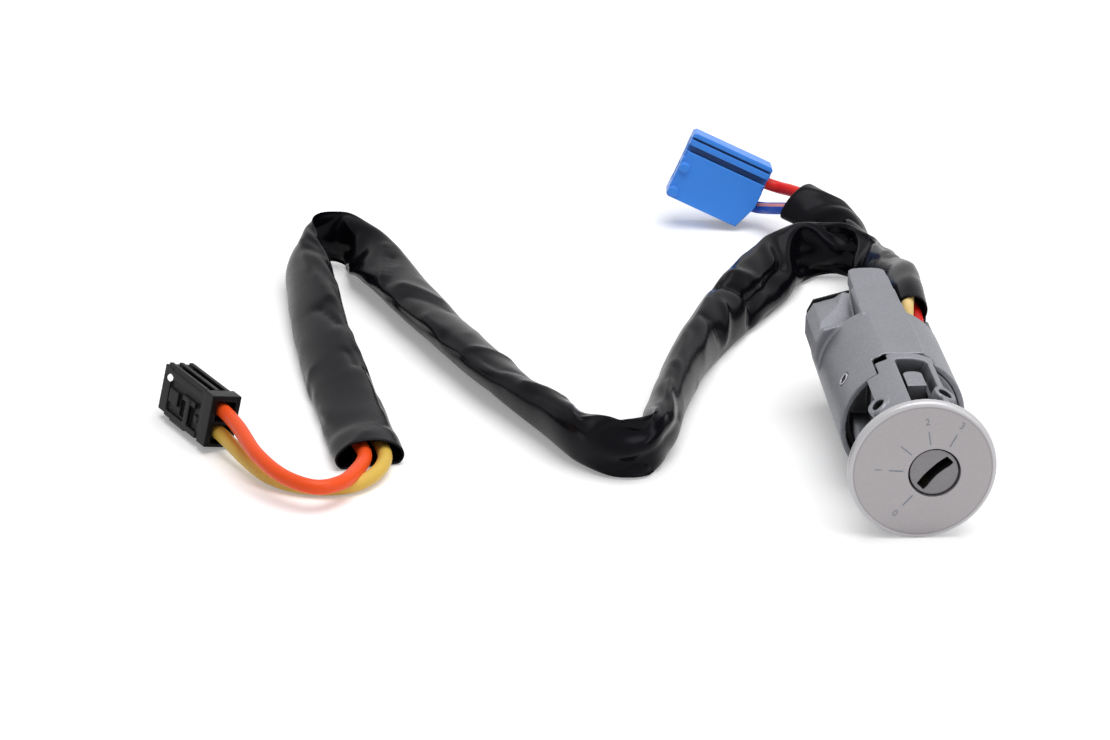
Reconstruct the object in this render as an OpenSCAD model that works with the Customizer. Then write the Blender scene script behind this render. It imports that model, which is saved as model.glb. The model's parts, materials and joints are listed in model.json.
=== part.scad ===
// Car ignition lock with its switch and harness.
// The lock lies on its rim and foot with its axis along +Y, face towards -Y, and +Z up.

/* [Face] */
// Diameter of the painted face
face_d = 38; // [36:0.5:44]
// Depth of the face cap, front to the end of its skirt
face_t = 2.5; // [2.2:0.1:4]
// Sheet thickness of the face cap
cap_wall = 1.2; // [0.8:0.1:1.4]
// Gap round the key plug in the face
face_gap = 0.4; // [0.2:0.05:0.8]

/* [Key plug] */
// Diameter of the key plug
plug_d = 12.6; // [11:0.1:13]
// Offset of the plug axis to the right of the face centre
plug_x = 3; // [0:0.1:3.5]
// Offset of the plug axis above the face centre
plug_z = -0.6; // [-1.5:0.1:1]
// How far the plug's end lies behind the face
plug_recess = 0.7; // [0.2:0.1:1.5]
// Running clearance round turning pieces
run_gap = 0.06; // [0.02:0.01:0.1]
// Width of the key slot
key_w = 9.9; // [8:0.1:11]
// Thickness of the key slot
key_t = 2; // [1.4:0.1:2.6]
// Depth of the key slot
key_depth = 37; // [30:1:40]
// Angle of the key slot, from the right
key_angle = 45; // [35:0.5:55]
// Number of wafers
wafer_n = 7; // [4:1:7]
// Thickness of a wafer
wafer_t = 1; // [0.6:0.1:1.4]

/* [Barrel] */
// Diameter of the barrel
body_d = 34; // [33:0.5:36]
// Wall of the barrel's front collar
collar_wall = 1.65; // [1.2:0.05:2.2]
// Depth of the collar's front edge on the left
collar_front = 28; // [26:0.5:30]
// Depth of the collar's front edge on the right
collar_right = 33.4; // [32:0.2:35]
// Depth of the notch for the bayonet lip
notch_depth = 37.6; // [36.5:0.1:39]
// Depth of the collar's bore
collar_bore = 42; // [41:0.5:44]
// Depth of the barrel's rear shoulder
shoulder = 68; // [64:0.5:70]
// Depth of the rear block's end
block_end = 86; // [84:0.5:90]
// Height of the flat along the barrel's top
flat_h = 16.4; // [15.8:0.1:16.8]
// Width of the bridge tongue
tongue_w = 12.4; // [10:0.2:13]
// Narrowing of the tongue on each side
tongue_taper = 0.9; // [0:0.1:1.5]
// Thickness of the tongue
tongue_t = 4.2; // [3:0.1:5]
// Depth of the tongue's end
tongue_end = 100; // [94:1:102]
// Corner radius of the tongue
tongue_r = 3; // [1:0.5:4]
// Height of the wire deck behind the shoulder
deck_h = 5.4; // [4.6:0.1:6]
// Reach of the rear block to the left
block_x = 18.6; // [17.5:0.1:18.9]
// Width of the foot
foot_w = 10; // [6:0.5:14]

/* [Carrier] */
// Radius of the carrier's core between its pillars
core_r = 13.4; // [12.5:0.1:14.5]
// Clearance of the carrier in the collar
seat_gap = 0.05; // [0.02:0.01:0.1]
// Width of the pocket
pocket_w = 6.8; // [6:0.1:7.5]
// Height of the pocket's floor
pocket_floor = 8.4; // [8:0.1:9.2]
// Diameter of the holes in the bosses
boss_hole = 3; // [2:0.1:3.6]
// Wall of the bosses
boss_wall = 1.2; // [0.8:0.1:1.6]
// Diameter of the side roll pin
pin_d = 3.6; // [2.4:0.1:4]
// Wall of the side roll pin
pin_wall = 0.6; // [0.4:0.1:0.9]

/* [Catch and bolt] */
// Width of the retainer catch
catch_w = 5; // [4:0.1:5.4]
// Length of the retainer catch along the barrel
catch_l = 9; // [7:0.5:10]
// Height of the retainer catch
catch_h = 5; // [4.4:0.1:5.4]
// Travel of the retainer catch
catch_travel = 2.4; // [1.5:0.1:2.6]
// Side clearance of sliding pieces
slide_gap = 0.1; // [0.05:0.01:0.2]
// Height of the steering bolt
bolt_h = 8.4; // [7.6:0.1:8.8]
// Thickness of the steering bolt along the barrel
bolt_t = 8; // [6:0.5:8.5]
// Travel of the steering bolt
bolt_travel = 8; // [6:0.5:8]

/* [Switch] */
// Outside diameter of the switch cup
switch_d = 19; // [18:0.5:20]
// Wall of the switch cup
switch_wall = 1.5; // [1.2:0.1:1.8]
// Length of the switch cup behind the rear block
switch_l = 14; // [13:0.5:16]
// Diameter of the drive shaft
shaft_d = 11.2; // [9:0.2:12]
// Diameter of the shaft's neck
neck_d = 5.6; // [5:0.1:5.8]
// Side of the shaft's square end
square_w = 3.8; // [3:0.1:3.9]
// Shank diameter of the switch screws
screw_d = 3; // [2.5:0.1:3.5]

/* [Connectors] */
// Length of the blue connector
blue_l = 27; // [24:0.5:30]
// Thickness of the blue connector
blue_t = 11; // [10:0.5:13]
// Width of the blue connector
blue_w = 24.4; // [22:0.2:26]
// Length of the black connector
black_l = 30.5; // [28:0.5:36]
// Thickness of the black connector
black_t = 7.6; // [7:0.1:9]
// Height of the black connector
black_h = 14; // [13:0.5:16]
// Diameter of the harness wires
wire_d = 4; // [3.6:0.1:4.2]
// Diameter of the wire tails at the lock
tail_d = 3.6; // [3:0.1:3.8]
// Wall of the sleeving
sleeve_wall = 0.7; // [0.5:0.1:1]

/* [Hidden] */
$fn = 64;
face_r = face_d / 2;
body_r = body_d / 2;
plug_r = plug_d / 2;
pin_r = pin_d / 2;
plug_at = [plug_x, plug_z];
collar_r = body_r - collar_wall;
register_r = collar_r - seat_gap;
cap_inner_r = face_r - cap_wall;

// Depths along the barrel, counted from the face
carrier_end = collar_bore - 0.1;
clip_front = carrier_end + 0.2;
clip_t = 1;
plug_end = clip_front + clip_t + 1;
tang_l = 4;
shaft_front = plug_end + 0.4;
bolt_front = shoulder + 4;
bolt_back = bolt_front + bolt_t + 2 * slide_gap;
spring_seat = bolt_back + 1.6;
flange_t = 1.4;
cup_front = block_end + flange_t;
cup_end = block_end + switch_l;
rotor_front = cup_front + 0.4;
rotor_t = 4.8;
contact_t = 0.8;
pad_gap = 0.3;
pad_t = 1;
plate_front = rotor_front + rotor_t + contact_t + pad_gap + pad_t;
plate_t = 2.4;
cover_front = plate_front + plate_t;
cover_t = 1.8;
lock_l = cup_end + cover_t + 2.2;
pocket_front = 9;
pocket_x = 1.5;
catch_front = 18;
catch_x = 0.8;
catch_corner = 2;
front_floor = pocket_floor - 1.2;
catch_z = pocket_floor + catch_travel + slide_gap;
pin_depth = (notch_depth + carrier_end) / 2;
pin_angle = 150;
left_boss = [129, 10.6];
right_boss = [64, 14];
pillar = [99, 129];
rib = [62.5, 69];
lip = [62, 105];
notch = [61, 118];
recess = [131, 172];
pillar_r = body_r - 0.1;
wafer_pitch = 4.2;
wafer_gap = 0.1;
key_arc_r = 35;
screw_at = [[-13, 6.4], [4, -13.2]];
screw_l = 6;
ear_r = 3.4;
foot_front = 58;
tab_front = shoulder + 3;
tab_t = 1.5;
tail_at = [[8.4, 76], [11.8, 79]];
tab_x = [5.9, 15.6];
tongue_left = -tongue_w / 2;

// Routes in the part's own frame, millimetres: the sleeves, then the wires
main_route = [[10.4, 34, 31.4], [10.8, 42, 31.4], [11.4, 52, 30], [12, 64, 25], [13.2, 80, 18.8], [14.4, 96, 14.4],
    [14.4, 110, 11.2], [13, 122, 9.6], [9.6, 130.4, 9.2], [4, 133.4, 9.2], [-4, 132.8, 9.2], [-11, 127, 9],
    [-19, 111, 8.2], [-30, 91, 8], [-41, 69, 7.4], [-50, 47, 7], [-60, 14, 7], [-64, -2, 7.6], [-69, -10.6, 8],
    [-76, -11.6, 8], [-83, -4, 7.6], [-92, 14, 7], [-103, 37, 7], [-124, 86, 7], [-132, 107, 7.6], [-139, 127, 8.6],
    [-146, 142, 9], [-153, 150, 9], [-160, 146, 8.8], [-162, 130, 8], [-161, 110, 6.8], [-154, 64, 6], [-148, 29, 6],
    [-141, -11, 6]];
main_half_w = [4.2, 4.2, 4.6, 6, 6.4, 6.4, 6.4, 5.6, 4.6, 4.6, 4.8, 6.4, 7.6, 8, 7.2, 6.4, 6, 5.4, 5, 5, 5.4,
    6.4, 6.8, 6.8, 6.4, 5, 4.6, 4.6, 4.8, 5.6, 6.8, 8.6, 9, 9.6];
main_half_h = [4.8, 4.8, 4.8, 5, 5.4, 6, 7, 8.2, 8.6, 8.6, 8.4, 8, 7.6, 7.4, 6.8, 6.4, 6.4, 7, 7.6, 7.6, 7,
    6.4, 6.2, 6.4, 7, 8.2, 8.6, 8.6, 8.4, 7.2, 6, 5.4, 5.4, 5.6];
branch_route = [[-7, 171, 10.5], [0, 170, 11.4], [7, 162, 10.6], [11, 150, 9.6], [10.6, 133.6, 9.2]];
branch_half_w = [5, 4.4, 4.2, 4, 3.6];
branch_half_h = [5.8, 5.6, 5.4, 5.2, 5];
red_route = [[-20.7, 181.7, 19.2], [-13.8, 180.6, 16.1], [-10, 175, 13.8], [-6, 171, 12.4], [0, 169.8, 13.3],
    [6, 163.4, 12.9]];
blue_route = [[-24.6, 180.7, 10.8], [-17.8, 179.6, 7.7], [-13.6, 176.4, 7], [-8.6, 171.6, 8], [-1, 170.1, 9.2], [6, 163.2, 8.6]];
orange_route = [[-183.8, 17.1, 11.2], [-180, 10.5, 11.2], [-176, 2, 10.6], [-170, -13, 9], [-162, -24, 7.5],
    [-154, -28, 7], [-148, -24, 7], [-145, -17, 6.6], [-142, -7, 6.4], [-144.4, 4, 6.4], [-147.4, 15, 6.4]];
yellow_route = [[-185.2, 16.3, 5], [-181.4, 9.7, 5], [-178, 3.4, 4.6], [-173, -5, 3.4], [-167, -13, 2.6],
    [-160, -18, 2.4], [-152, -20, 2.4], [-145, -19, 2.6], [-140, -14.5, 3.8], [-136.8, -6, 5.2], [-141.4, 15, 6]];
cream_route = [[8.4, 24, 25.2], [8.4, 24.5, 28.5], [8.7, 27, 32.2], [9.4, 30.5, 33.4], [10.1, 36, 33.2], [10.5, 43, 33.2],
    [11, 50, 31.8]];
tail_route = [[11.8, 27, 25.4], [11.8, 27.3, 27], [11.5, 29.5, 28.9], [10.9, 34, 29.6], [11.1, 42, 29.6], [11.6, 50, 28.4],
    [12, 57, 26]];

// Placing: inside in_lock, z is the depth from the face and y points down
module in_lock() { translate([0, -lock_l / 2, face_r]) rotate([-90, 0, 0]) children(); }

// Extrudes an outline drawn as seen from the front, between two depths
module slab(from, to) { translate([0, 0, from]) linear_extrude(to - from) mirror([0, 1]) children(); }

// Extrudes an outline drawn in plan, width against depth, between two heights
module plan(low, high) { translate([0, -low, 0]) rotate([90, 0, 0]) linear_extrude(high - low) children(); }

// A round bar about an axis parallel to the barrel's
module bar(from, to, r, at = [0, 0]) { translate([at[0], -at[1], from]) cylinder(h = to - from, r = r); }

// Turns a piece to stand along a radius at an angle and depth
module spoke(angle, depth) { translate([0, 0, depth]) rotate([0, 0, -angle]) rotate([0, 90, 0]) children(); }

// A pie-slice outline between two angles
module slice(angles, r) {
    reach = 2 * r;
    middle = (angles[0] + angles[1]) / 2;
    intersection() {
        circle(r);
        polygon([[0, 0], for (a = [angles[0], middle, angles[1]]) reach * [cos(a), sin(a)]]);
    }
}

// A helical wire coil along +z, closed at both ends
module coil(r, wire_r, length, turns, sides = 6, steps = 10) {
    n = turns * steps;
    rise = (length - 2 * wire_r) / n;
    points = [for (i = [0:n], j = [0:sides - 1])
        let (a = 360 * i / steps, b = 360 * j / sides, q = r + wire_r * cos(b))
        [q * cos(a), q * sin(a), wire_r + rise * i + wire_r * sin(b)]];
    walls = [for (i = [0:n - 1], j = [0:sides - 1]) let (k = (j + 1) % sides)
        each [[i * sides + j, (i + 1) * sides + j, (i + 1) * sides + k], [i * sides + j, (i + 1) * sides + k, i * sides + k]]];
    polyhedron(points, concat(walls, [[for (j = [0:sides - 1]) j]], [[for (j = [sides - 1:-1:0]) n * sides + j]]));
}

// One ring of a swept tube: an oval square to the route
function unit(v) = v / norm(v);
function heading(route, i) = unit(route[min(i + 1, len(route) - 1)] - route[max(i - 1, 0)]);
function ring(route, i, half_w, half_h, hint, sides) =
    let (t = heading(route, i), s = unit(cross(t, hint)), u = cross(s, t))
    [for (j = [0:sides - 1]) route[i] + half_w * cos(360 * j / sides) * s + half_h * sin(360 * j / sides) * u];

// Triangles between neighbouring rings, counted from a first point
function skin(first, rings, sides) = [for (i = [0:rings - 2], j = [0:sides - 1])
    let (k = (j + 1) % sides, a = first + i * sides, b = a + sides)
    each [[a + j, a + k, b + k], [a + j, b + k, b + j]]];
function flipped(faces) = [for (f = faces) [f[2], f[1], f[0]]];

// A solid round cord along a route
module cord(route, r, hint = [0, 0, 1], sides = 8) {
    n = len(route);
    points = [for (i = [0:n - 1]) each ring(route, i, r, r, hint, sides)];
    ends = [[for (j = [sides - 1:-1:0]) j], [for (j = [0:sides - 1]) (n - 1) * sides + j]];
    polyhedron(points, concat(skin(0, n, sides), ends));
}

// A hollow oval sleeve along a route
module sleeve(route, half_w, half_h, wall, sides = 12) {
    n = len(route);
    m = n * sides;
    outer = [for (i = [0:n - 1]) each ring(route, i, half_w[i], half_h[i], [0, 0, 1], sides)];
    inner = [for (i = [0:n - 1]) each ring(route, i, half_w[i] - wall, half_h[i] - wall, [0, 0, 1], sides)];
    last = m - sides;
    rims = [for (j = [0:sides - 1]) let (k = (j + 1) % sides)
        each [[j, m + j, m + k], [j, m + k, k], [last + j, last + k, m + last + k], [last + j, m + last + k, m + last + j]]];
    polyhedron(concat(outer, inner), concat(skin(0, n, sides), flipped(skin(m, n, sides)), rims));
}

// Lock body

// Left block of the rear end, as seen from the front, drawn in by an inset
module block_outline(inset = 0) {
    top = flat_h - 2 - inset;
    left = inset - block_x;
    polygon([[tongue_left, top], [left + 2, top - 2.8], [left, top - 6.4], [left, 2.6], [inset - 14.5, -8], [tongue_left, -8]]);
}

module tongue_outline() {
    half = tongue_w / 2;
    tip = half - tongue_taper;
    turn = tongue_end - tongue_r;
    polygon([[-half, shoulder - 2], [half, shoulder - 2], [tip, turn], [-tip, turn]]);
    for (side = [-1, 1]) translate([side * (tip - tongue_r), turn]) circle(tongue_r);
    translate([tongue_r - tip, turn]) square([2 * (tip - tongue_r), tongue_r]);
}

module housing_mass() {
    slab(collar_front, shoulder) difference() {
        circle(body_r);
        translate([-body_r, flat_h]) square([body_d, body_r]);
    }
    slab(notch_depth, shoulder) translate([0, flat_h - tongue_t]) square([tongue_w / 2, tongue_t]);
    plan(flat_h - tongue_t, flat_h) tongue_outline();
    slab(shoulder - 2, block_end) {
        difference() {
            circle(body_r);
            translate([tongue_left, deck_h]) square(body_d);
        }
        block_outline();
    }
    slab(foot_front, block_end) translate([-foot_w / 2, -face_r]) square([foot_w, face_r - body_r + 3]);
}

module lock_housing() color("#9a9ba3") in_lock() difference() {
    housing_mass();
    bar(collar_front - 1, collar_bore, collar_r);
    slab(collar_front - 1, notch_depth) slice(notch, body_d);
    slab(collar_front - 1, collar_right) slice([-75, notch[0] + 1], body_d);
    bar(collar_bore - 1, shaft_front - 0.2, plug_r + 2, plug_at);
    bar(collar_bore, bolt_front + 1, shaft_d / 2 + run_gap, plug_at);
    bar(bolt_back - 1, spring_seat + 1, neck_d / 2 + run_gap, plug_at);
    bar(spring_seat, block_end + 1, neck_d / 2 + 3.4, plug_at);
    slab(bolt_front, bolt_back) translate([bolt_tail() - 3.4, plug_z - bolt_h / 2 - slide_gap])
        square([body_d, bolt_h + 2 * slide_gap]);
    for (p = screw_at) bar(block_end - screw_l - 1, block_end + 1, screw_d / 2 + slide_gap / 2, p);
    spoke(pin_angle, pin_depth) cylinder(h = body_d, r = pin_r + seat_gap);
}

module boss(place, top) { spoke(place[0], place[1]) cylinder(h = top, r = boss_hole / 2 + boss_wall); }
module boss_drill(place, top) { spoke(place[0], place[1]) translate([0, 0, top - 7]) cylinder(h = 9, r = boss_hole / 2); }

module carrier_mass() {
    bar(cap_wall, face_t, cap_inner_r - seat_gap);
    bar(face_t - 1, collar_right + 1, core_r);
    slab(face_t - 1, collar_front - 0.1) slice(pillar, pillar_r);
    slab(face_t - 1, collar_right + 1) slice([pillar[0], notch[1] - 1], pillar_r);
    slab(face_t - 1, collar_right + 1) slice(rib, pillar_r);
    slab(collar_right, notch_depth - 0.4) slice(lip, body_r);
    bar(collar_right, carrier_end, register_r);
    boss(left_boss, body_r + 0.3);
    boss(right_boss, body_r - 0.2);
}

module pocket_cut(from, to, middle, width, floor) {
    slab(from, to) translate([middle - width / 2, floor]) square([width, body_r]);
}

module barrel_carrier() color("#a3a4ab") in_lock() difference() {
    carrier_mass();
    bar(0, collar_bore, plug_r + run_gap, plug_at);
    pocket_cut(pocket_front, catch_front - slide_gap, pocket_x, pocket_w, front_floor);
    pocket_cut(catch_front - 1, catch_front + catch_l + slide_gap, catch_x, catch_w + 2 * slide_gap, pocket_floor);
    pocket_cut(catch_front + catch_l, collar_right, pocket_x, pocket_w, pocket_floor);
    slab(face_t + 2, collar_front - 0.5) difference() {
        slice(recess, body_d);
        circle(core_r - 3.6);
    }
    boss_drill(left_boss, body_r + 0.3);
    boss_drill(right_boss, body_r - 0.2);
    spoke(pin_angle, pin_depth) translate([0, 0, register_r - 4]) cylinder(h = body_r, r = pin_r + seat_gap);
}

module face_cap() color("#b9b4b7") in_lock() difference() {
    rotate_extrude() {
        square([face_r - cap_wall, cap_wall]);
        translate([face_r - cap_wall, cap_wall]) square([cap_wall, face_t - cap_wall]);
        translate([face_r - cap_wall, cap_wall]) intersection() {
            circle(cap_wall);
            translate([0, -cap_wall]) square(cap_wall);
        }
    }
    bar(-1, face_t, plug_r + face_gap, plug_at);
}

module side_roll_pin() color("#c8c8cc") in_lock() spoke(pin_angle, pin_depth)
    translate([0, 0, register_r - 4]) difference() {
        cylinder(h = body_r + 0.1 - register_r + 4, r = pin_r);
        translate([0, 0, -1]) cylinder(h = body_r, r = pin_r - pin_wall);
    }

// Pieces that turn with the key

// Key slot outline about the plug axis: a shallow arc
module key_outline() {
    rotate(key_angle) intersection() {
        translate([0, -key_arc_r]) difference() {
            circle(key_arc_r + key_t / 2, $fn = 180);
            circle(key_arc_r - key_t / 2, $fn = 180);
        }
        square([key_w, 4 * key_t], center = true);
    }
}

module wafer_outline(gap) {
    rotate(key_angle) square([plug_d, plug_r + 1.6 * gap], center = true);
}

function wafer_depth(i) = 8 + wafer_pitch * i;

module at_plug() { translate([plug_x, -plug_z, 0]) children(); }

module key_plug() color("#8d8b8f") in_lock() at_plug() difference() {
    union() {
        bar(plug_recess, plug_end, plug_r);
        slab(plug_end - 1, plug_end + tang_l) square([7, 2.4], center = true);
    }
    slab(0, key_depth) key_outline();
    for (i = [0:wafer_n - 1])
        slab(wafer_depth(i) - wafer_gap, wafer_depth(i) + wafer_t + wafer_gap) wafer_outline(wafer_gap);
    difference() {
        bar(clip_front, clip_front + clip_t, plug_d);
        bar(clip_front, clip_front + clip_t, plug_r - 0.8);
    }
}

module wafers() color("#c9a54a") in_lock() at_plug() for (i = [0:wafer_n - 1])
    slab(wafer_depth(i), wafer_depth(i) + wafer_t) difference() {
        intersection() {
            wafer_outline(0);
            circle(plug_r - wafer_gap);
        }
        rotate(key_angle) square([key_w - 1.2, key_t + 1.2], center = true);
    }

module plug_clip() color("#77777b") in_lock() at_plug() slab(clip_front + 0.1, clip_front + clip_t - 0.1) difference() {
    circle(plug_r + 1.2);
    circle(plug_r - 0.7);
    translate([-1.5, 0]) square([3, plug_d]);
}

module drive_shaft() color("#8f9096") in_lock() at_plug() difference() {
    union() {
        bar(shaft_front, bolt_front - 0.4, shaft_d / 2);
        bar(bolt_front - 1, cup_front + 0.2, neck_d / 2);
        slab(cup_front - 1, rotor_front + rotor_t - 0.4) square(square_w, center = true);
    }
    slab(shaft_front - 1, plug_end + tang_l + 0.4) square([7.3, 2.6], center = true);
}

module return_spring() color("#6f7074") in_lock() at_plug()
    translate([0, 0, spring_seat]) coil(neck_d / 2 + 1.6, 0.45, block_end - spring_seat, 3);

// Catch and steering bolt

// Catch outline in plan, with its rear corners rounded
module catch_outline() {
    half = catch_w / 2;
    turn = catch_l - catch_corner;
    translate([catch_x, catch_front]) {
        translate([-half, 0]) square([catch_w, turn]);
        translate([catch_corner - half, turn - 1]) square([catch_w - 2 * catch_corner, catch_corner + 1]);
        for (side = [-1, 1]) translate([side * (half - catch_corner), turn]) circle(catch_corner);
    }
}

catch_middle = [catch_x, catch_front + catch_l / 2];
catch_bore_top = catch_z + catch_h - 1.4;

module retainer_catch() color("#b4b5ba") in_lock() difference() {
    plan(catch_z, catch_z + catch_h) catch_outline();
    plan(catch_z - 1, catch_bore_top) translate(catch_middle) circle(1.5);
}

module catch_spring() color("#77787c") in_lock() translate([catch_middle[0], -pocket_floor, catch_middle[1]])
    rotate([90, 0, 0]) coil(1, 0.25, catch_bore_top - pocket_floor, 5);

function bolt_tail() = plug_x - neck_d / 2 - bolt_travel - 0.4 - 2;
bolt_tip = sqrt(body_r * body_r - bolt_h * bolt_h / 4) - 0.2;

module lock_bolt() color("#85868a") in_lock() slab(bolt_front + slide_gap, bolt_back - slide_gap) difference() {
    translate([bolt_tail(), plug_z - bolt_h / 2]) square([bolt_tip - bolt_tail(), bolt_h]);
    translate([bolt_tail() + 2, plug_z - neck_d / 2 - 0.2]) square([neck_d + bolt_travel + 0.8, neck_d + 0.4]);
}

module bolt_spring() color("#77787c") in_lock()
    translate([bolt_tail() - 3.4, -plug_z, (bolt_front + bolt_back) / 2]) rotate([0, 90, 0]) coil(2.4, 0.35, 3.4, 3);

// Switch

module switch_flange() {
    block_outline(0.4);
    translate(plug_at) circle(switch_d / 2);
    translate([-12, -6]) square([12, 12]);
    translate(screw_at[1]) circle(ear_r);
    translate(screw_at[1] - [ear_r, 0]) square([2 * ear_r, plug_z - screw_at[1][1]]);
    translate([tab_x[0], -4]) square([tab_x[1] - tab_x[0], deck_h + tab_t + 4]);
}

module switch_housing() color("#26262b") in_lock() difference() {
    union() {
        slab(block_end, cup_front) switch_flange();
        bar(block_end, cup_end, switch_d / 2, plug_at);
        slab(tab_front, block_end + 1) translate([tab_x[0], deck_h]) square([tab_x[1] - tab_x[0], tab_t]);
    }
    bar(cup_front, cup_end + 1, switch_d / 2 - switch_wall, plug_at);
    bar(block_end - 1, cup_end, neck_d / 2 + run_gap, plug_at);
    for (p = screw_at) bar(block_end - 1, cup_front + 1, screw_d / 2 + slide_gap, p);
    for (p = tail_at) plan(deck_h + 0.4, deck_h + tab_t + 1) translate(p) circle(tail_d / 2 + 0.35);
}

module contact_rotor() color("#d8cfb8") in_lock() at_plug() slab(rotor_front, rotor_front + rotor_t) difference() {
    circle(switch_d / 2 - switch_wall - 0.3);
    square(square_w + 0.2, center = true);
}

contact_r = switch_d / 2 - switch_wall - 1.6;

module moving_contact() color("#c2953c") in_lock() at_plug()
    slab(rotor_front + rotor_t, rotor_front + rotor_t + contact_t) difference() {
        slice([20, 190], contact_r + 1.2);
        circle(contact_r - 1.6);
    }

module fixed_contacts() color("#c2953c") in_lock() at_plug() for (a = [64, 100, 175, 229])
    bar(plate_front - pad_t, plate_front, 1.2, contact_r * [cos(a), sin(a)]);

module terminal_plate() color("#5a3a28") in_lock() at_plug()
    bar(plate_front, cover_front, switch_d / 2 - switch_wall - 0.05);

module switch_cover() color("#1e1e22") in_lock() at_plug() {
    bar(cover_front, cup_end, switch_d / 2 - switch_wall - 0.05);
    bar(cup_end, cup_end + cover_t, switch_d / 2);
    bar(cup_end + cover_t, lock_l, switch_d / 4);
}

module switch_screws() color("#b8b9bd") in_lock() for (p = screw_at) {
    bar(block_end - screw_l, cup_front, screw_d / 2, p);
    difference() {
        bar(cup_front, cup_front + 2, screw_d * 0.9, p);
        slab(cup_front + 1, cup_front + 3) translate(p) square([screw_d, 0.7], center = true);
        slab(cup_front + 1, cup_front + 3) translate(p) square([0.7, screw_d], center = true);
    }
}

// Harness

blue_cavities = [0.36 * blue_w, 0.74 * blue_w];
black_cavities = [0.285 * black_h, 0.74 * black_h];
wire_hole = wire_d / 2 + 0.3;

// Local frames: x runs along each connector
module at_blue() { translate([-46.3, 177.1, 11.7]) rotate([-10, 24, -9]) children(); }
black_roll = 15;
black_lift = (black_t / 2 + 0.5) * sin(black_roll) + 0.05;
module at_black() { translate([-182.3, 9.2, black_lift]) rotate([black_roll, 0, 120]) children(); }

module blue_connector() color("#2f6fd0") at_blue() difference() {
    union() {
        translate([0, blue_t, 0]) rotate([90, 0, 0]) linear_extrude(blue_t)
            polygon([[0.8, 0], [blue_l - 3, 0], [blue_l, 9], [blue_l, blue_w - 0.8], [blue_l - 0.8, blue_w], [0.8, blue_w],
                [0, blue_w - 0.8], [0, 0.8]]);
        for (z = [2.4, 11.6]) translate([1.7, 0.4, z]) rotate([90, 0, 0]) cylinder(h = 0.9, r = 1.4);
    }
    translate([-1, -1, 15]) cube([blue_l + 2, 2.2, 2.2]);
    translate([-1, -1, 19.7]) cube([blue_l + 2, 1.5, 0.8]);
    translate([-1, blue_t - 1.6, 6]) cube([blue_l + 2, 3, 11.6]);
    for (z = blue_cavities) translate([0, blue_t / 2, z]) {
        translate([blue_l - 8, 0, 0]) rotate([0, 90, 0]) cylinder(h = 12, r = wire_hole);
        translate([-1, -1.5, -3.6]) cube([12, 3, 7.2]);
        translate([9, -0.6, -2.6]) cube([11, 1.2, 5.2]);
    }
}

module blue_terminals() color("#c9a54a") at_blue() for (z = blue_cavities) translate([0, blue_t / 2, z]) {
    translate([4, -0.4, -2.4]) cube([15, 0.8, 4.8]);
}

module black_connector() color("#24242a") at_black() difference() {
    union() {
        translate([0, -black_t / 2 - 0.5, 0]) cube([6.5, black_t + 1, black_h]);
        translate([4, -black_t / 2, 0.4]) cube([black_l - 8, black_t, black_h - 1]);
        translate([20, -black_t / 2 + 0.7, 1.2]) cube([black_l - 20, black_t - 1.4, black_h - 2.6]);
        for (y = [-0.3, 0.3]) translate([5, y * black_t - 0.6, black_h - 1]) cube([black_l - 10, 1.2, 1]);
        translate([10, black_t / 2 - 0.2, 2]) cube([3, 1, black_h - 5]);
        translate([5, black_t / 2 - 0.2, 1]) cube([black_l - 9.5, 0.8, 1.6]);
        translate([18, black_t / 2 - 0.2, 5.4]) cube([black_l - 22.5, 0.8, 3.2]);
    }
    for (z = black_cavities) translate([0, 0, z]) {
        translate([-1, 0, 0]) rotate([0, 90, 0]) cylinder(h = 9, r = wire_hole);
        translate([black_l - 10, -1.5, -2.6]) cube([12, 3, 5.2]);
        translate([7, -0.6, -2.1]) cube([16, 1.2, 4.2]);
    }
    translate([black_l - 3, 0, black_h / 2]) rotate([90, 0, 0]) cylinder(h = 2 * black_t, r = 0.9, center = true);
}

module black_terminals() color("#c9a54a") at_black() for (z = black_cavities)
    translate([8.5, -0.4, z - 1.9]) cube([15, 0.8, 3.8]);

module sleeve_main() color("#202025") sleeve(main_route, main_half_w, main_half_h, sleeve_wall);
module sleeve_branch() color("#202025") sleeve(branch_route, branch_half_w, branch_half_h, sleeve_wall, 10);
module tail_cream() color("#e3c27e") cord(cream_route, tail_d / 2, [1, 0, 0]);
module tail_red() color("#d8423a") cord(tail_route, tail_d / 2, [1, 0, 0]);
module wire_red() color("#df2f2c") cord(red_route, wire_d / 2);
module wire_blue() color("#2447a8") cord(blue_route, wire_d / 2);
module wire_orange() color("#f0643c") cord(orange_route, wire_d / 2);
module wire_yellow() color("#d8b452") cord(yellow_route, wire_d / 2);

lock_housing();
barrel_carrier();
face_cap();
side_roll_pin();
key_plug();
wafers();
plug_clip();
drive_shaft();
return_spring();
retainer_catch();
catch_spring();
lock_bolt();
bolt_spring();
switch_housing();
contact_rotor();
moving_contact();
fixed_contacts();
terminal_plate();
switch_cover();
switch_screws();
sleeve_main();
sleeve_branch();
tail_cream();
tail_red();
wire_red();
wire_blue();
blue_connector();
blue_terminals();
wire_orange();
wire_yellow();
black_connector();
black_terminals();
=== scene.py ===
"""Dresses the car ignition lock: die castings, painted face, key plug, switch, sleeved harness and connectors."""

import json
import math

import bmesh
import bpy
import numpy as np
from bpy.props import FloatProperty, FloatVectorProperty, IntProperty, PointerProperty
from mathutils import Matrix, Vector


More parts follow.
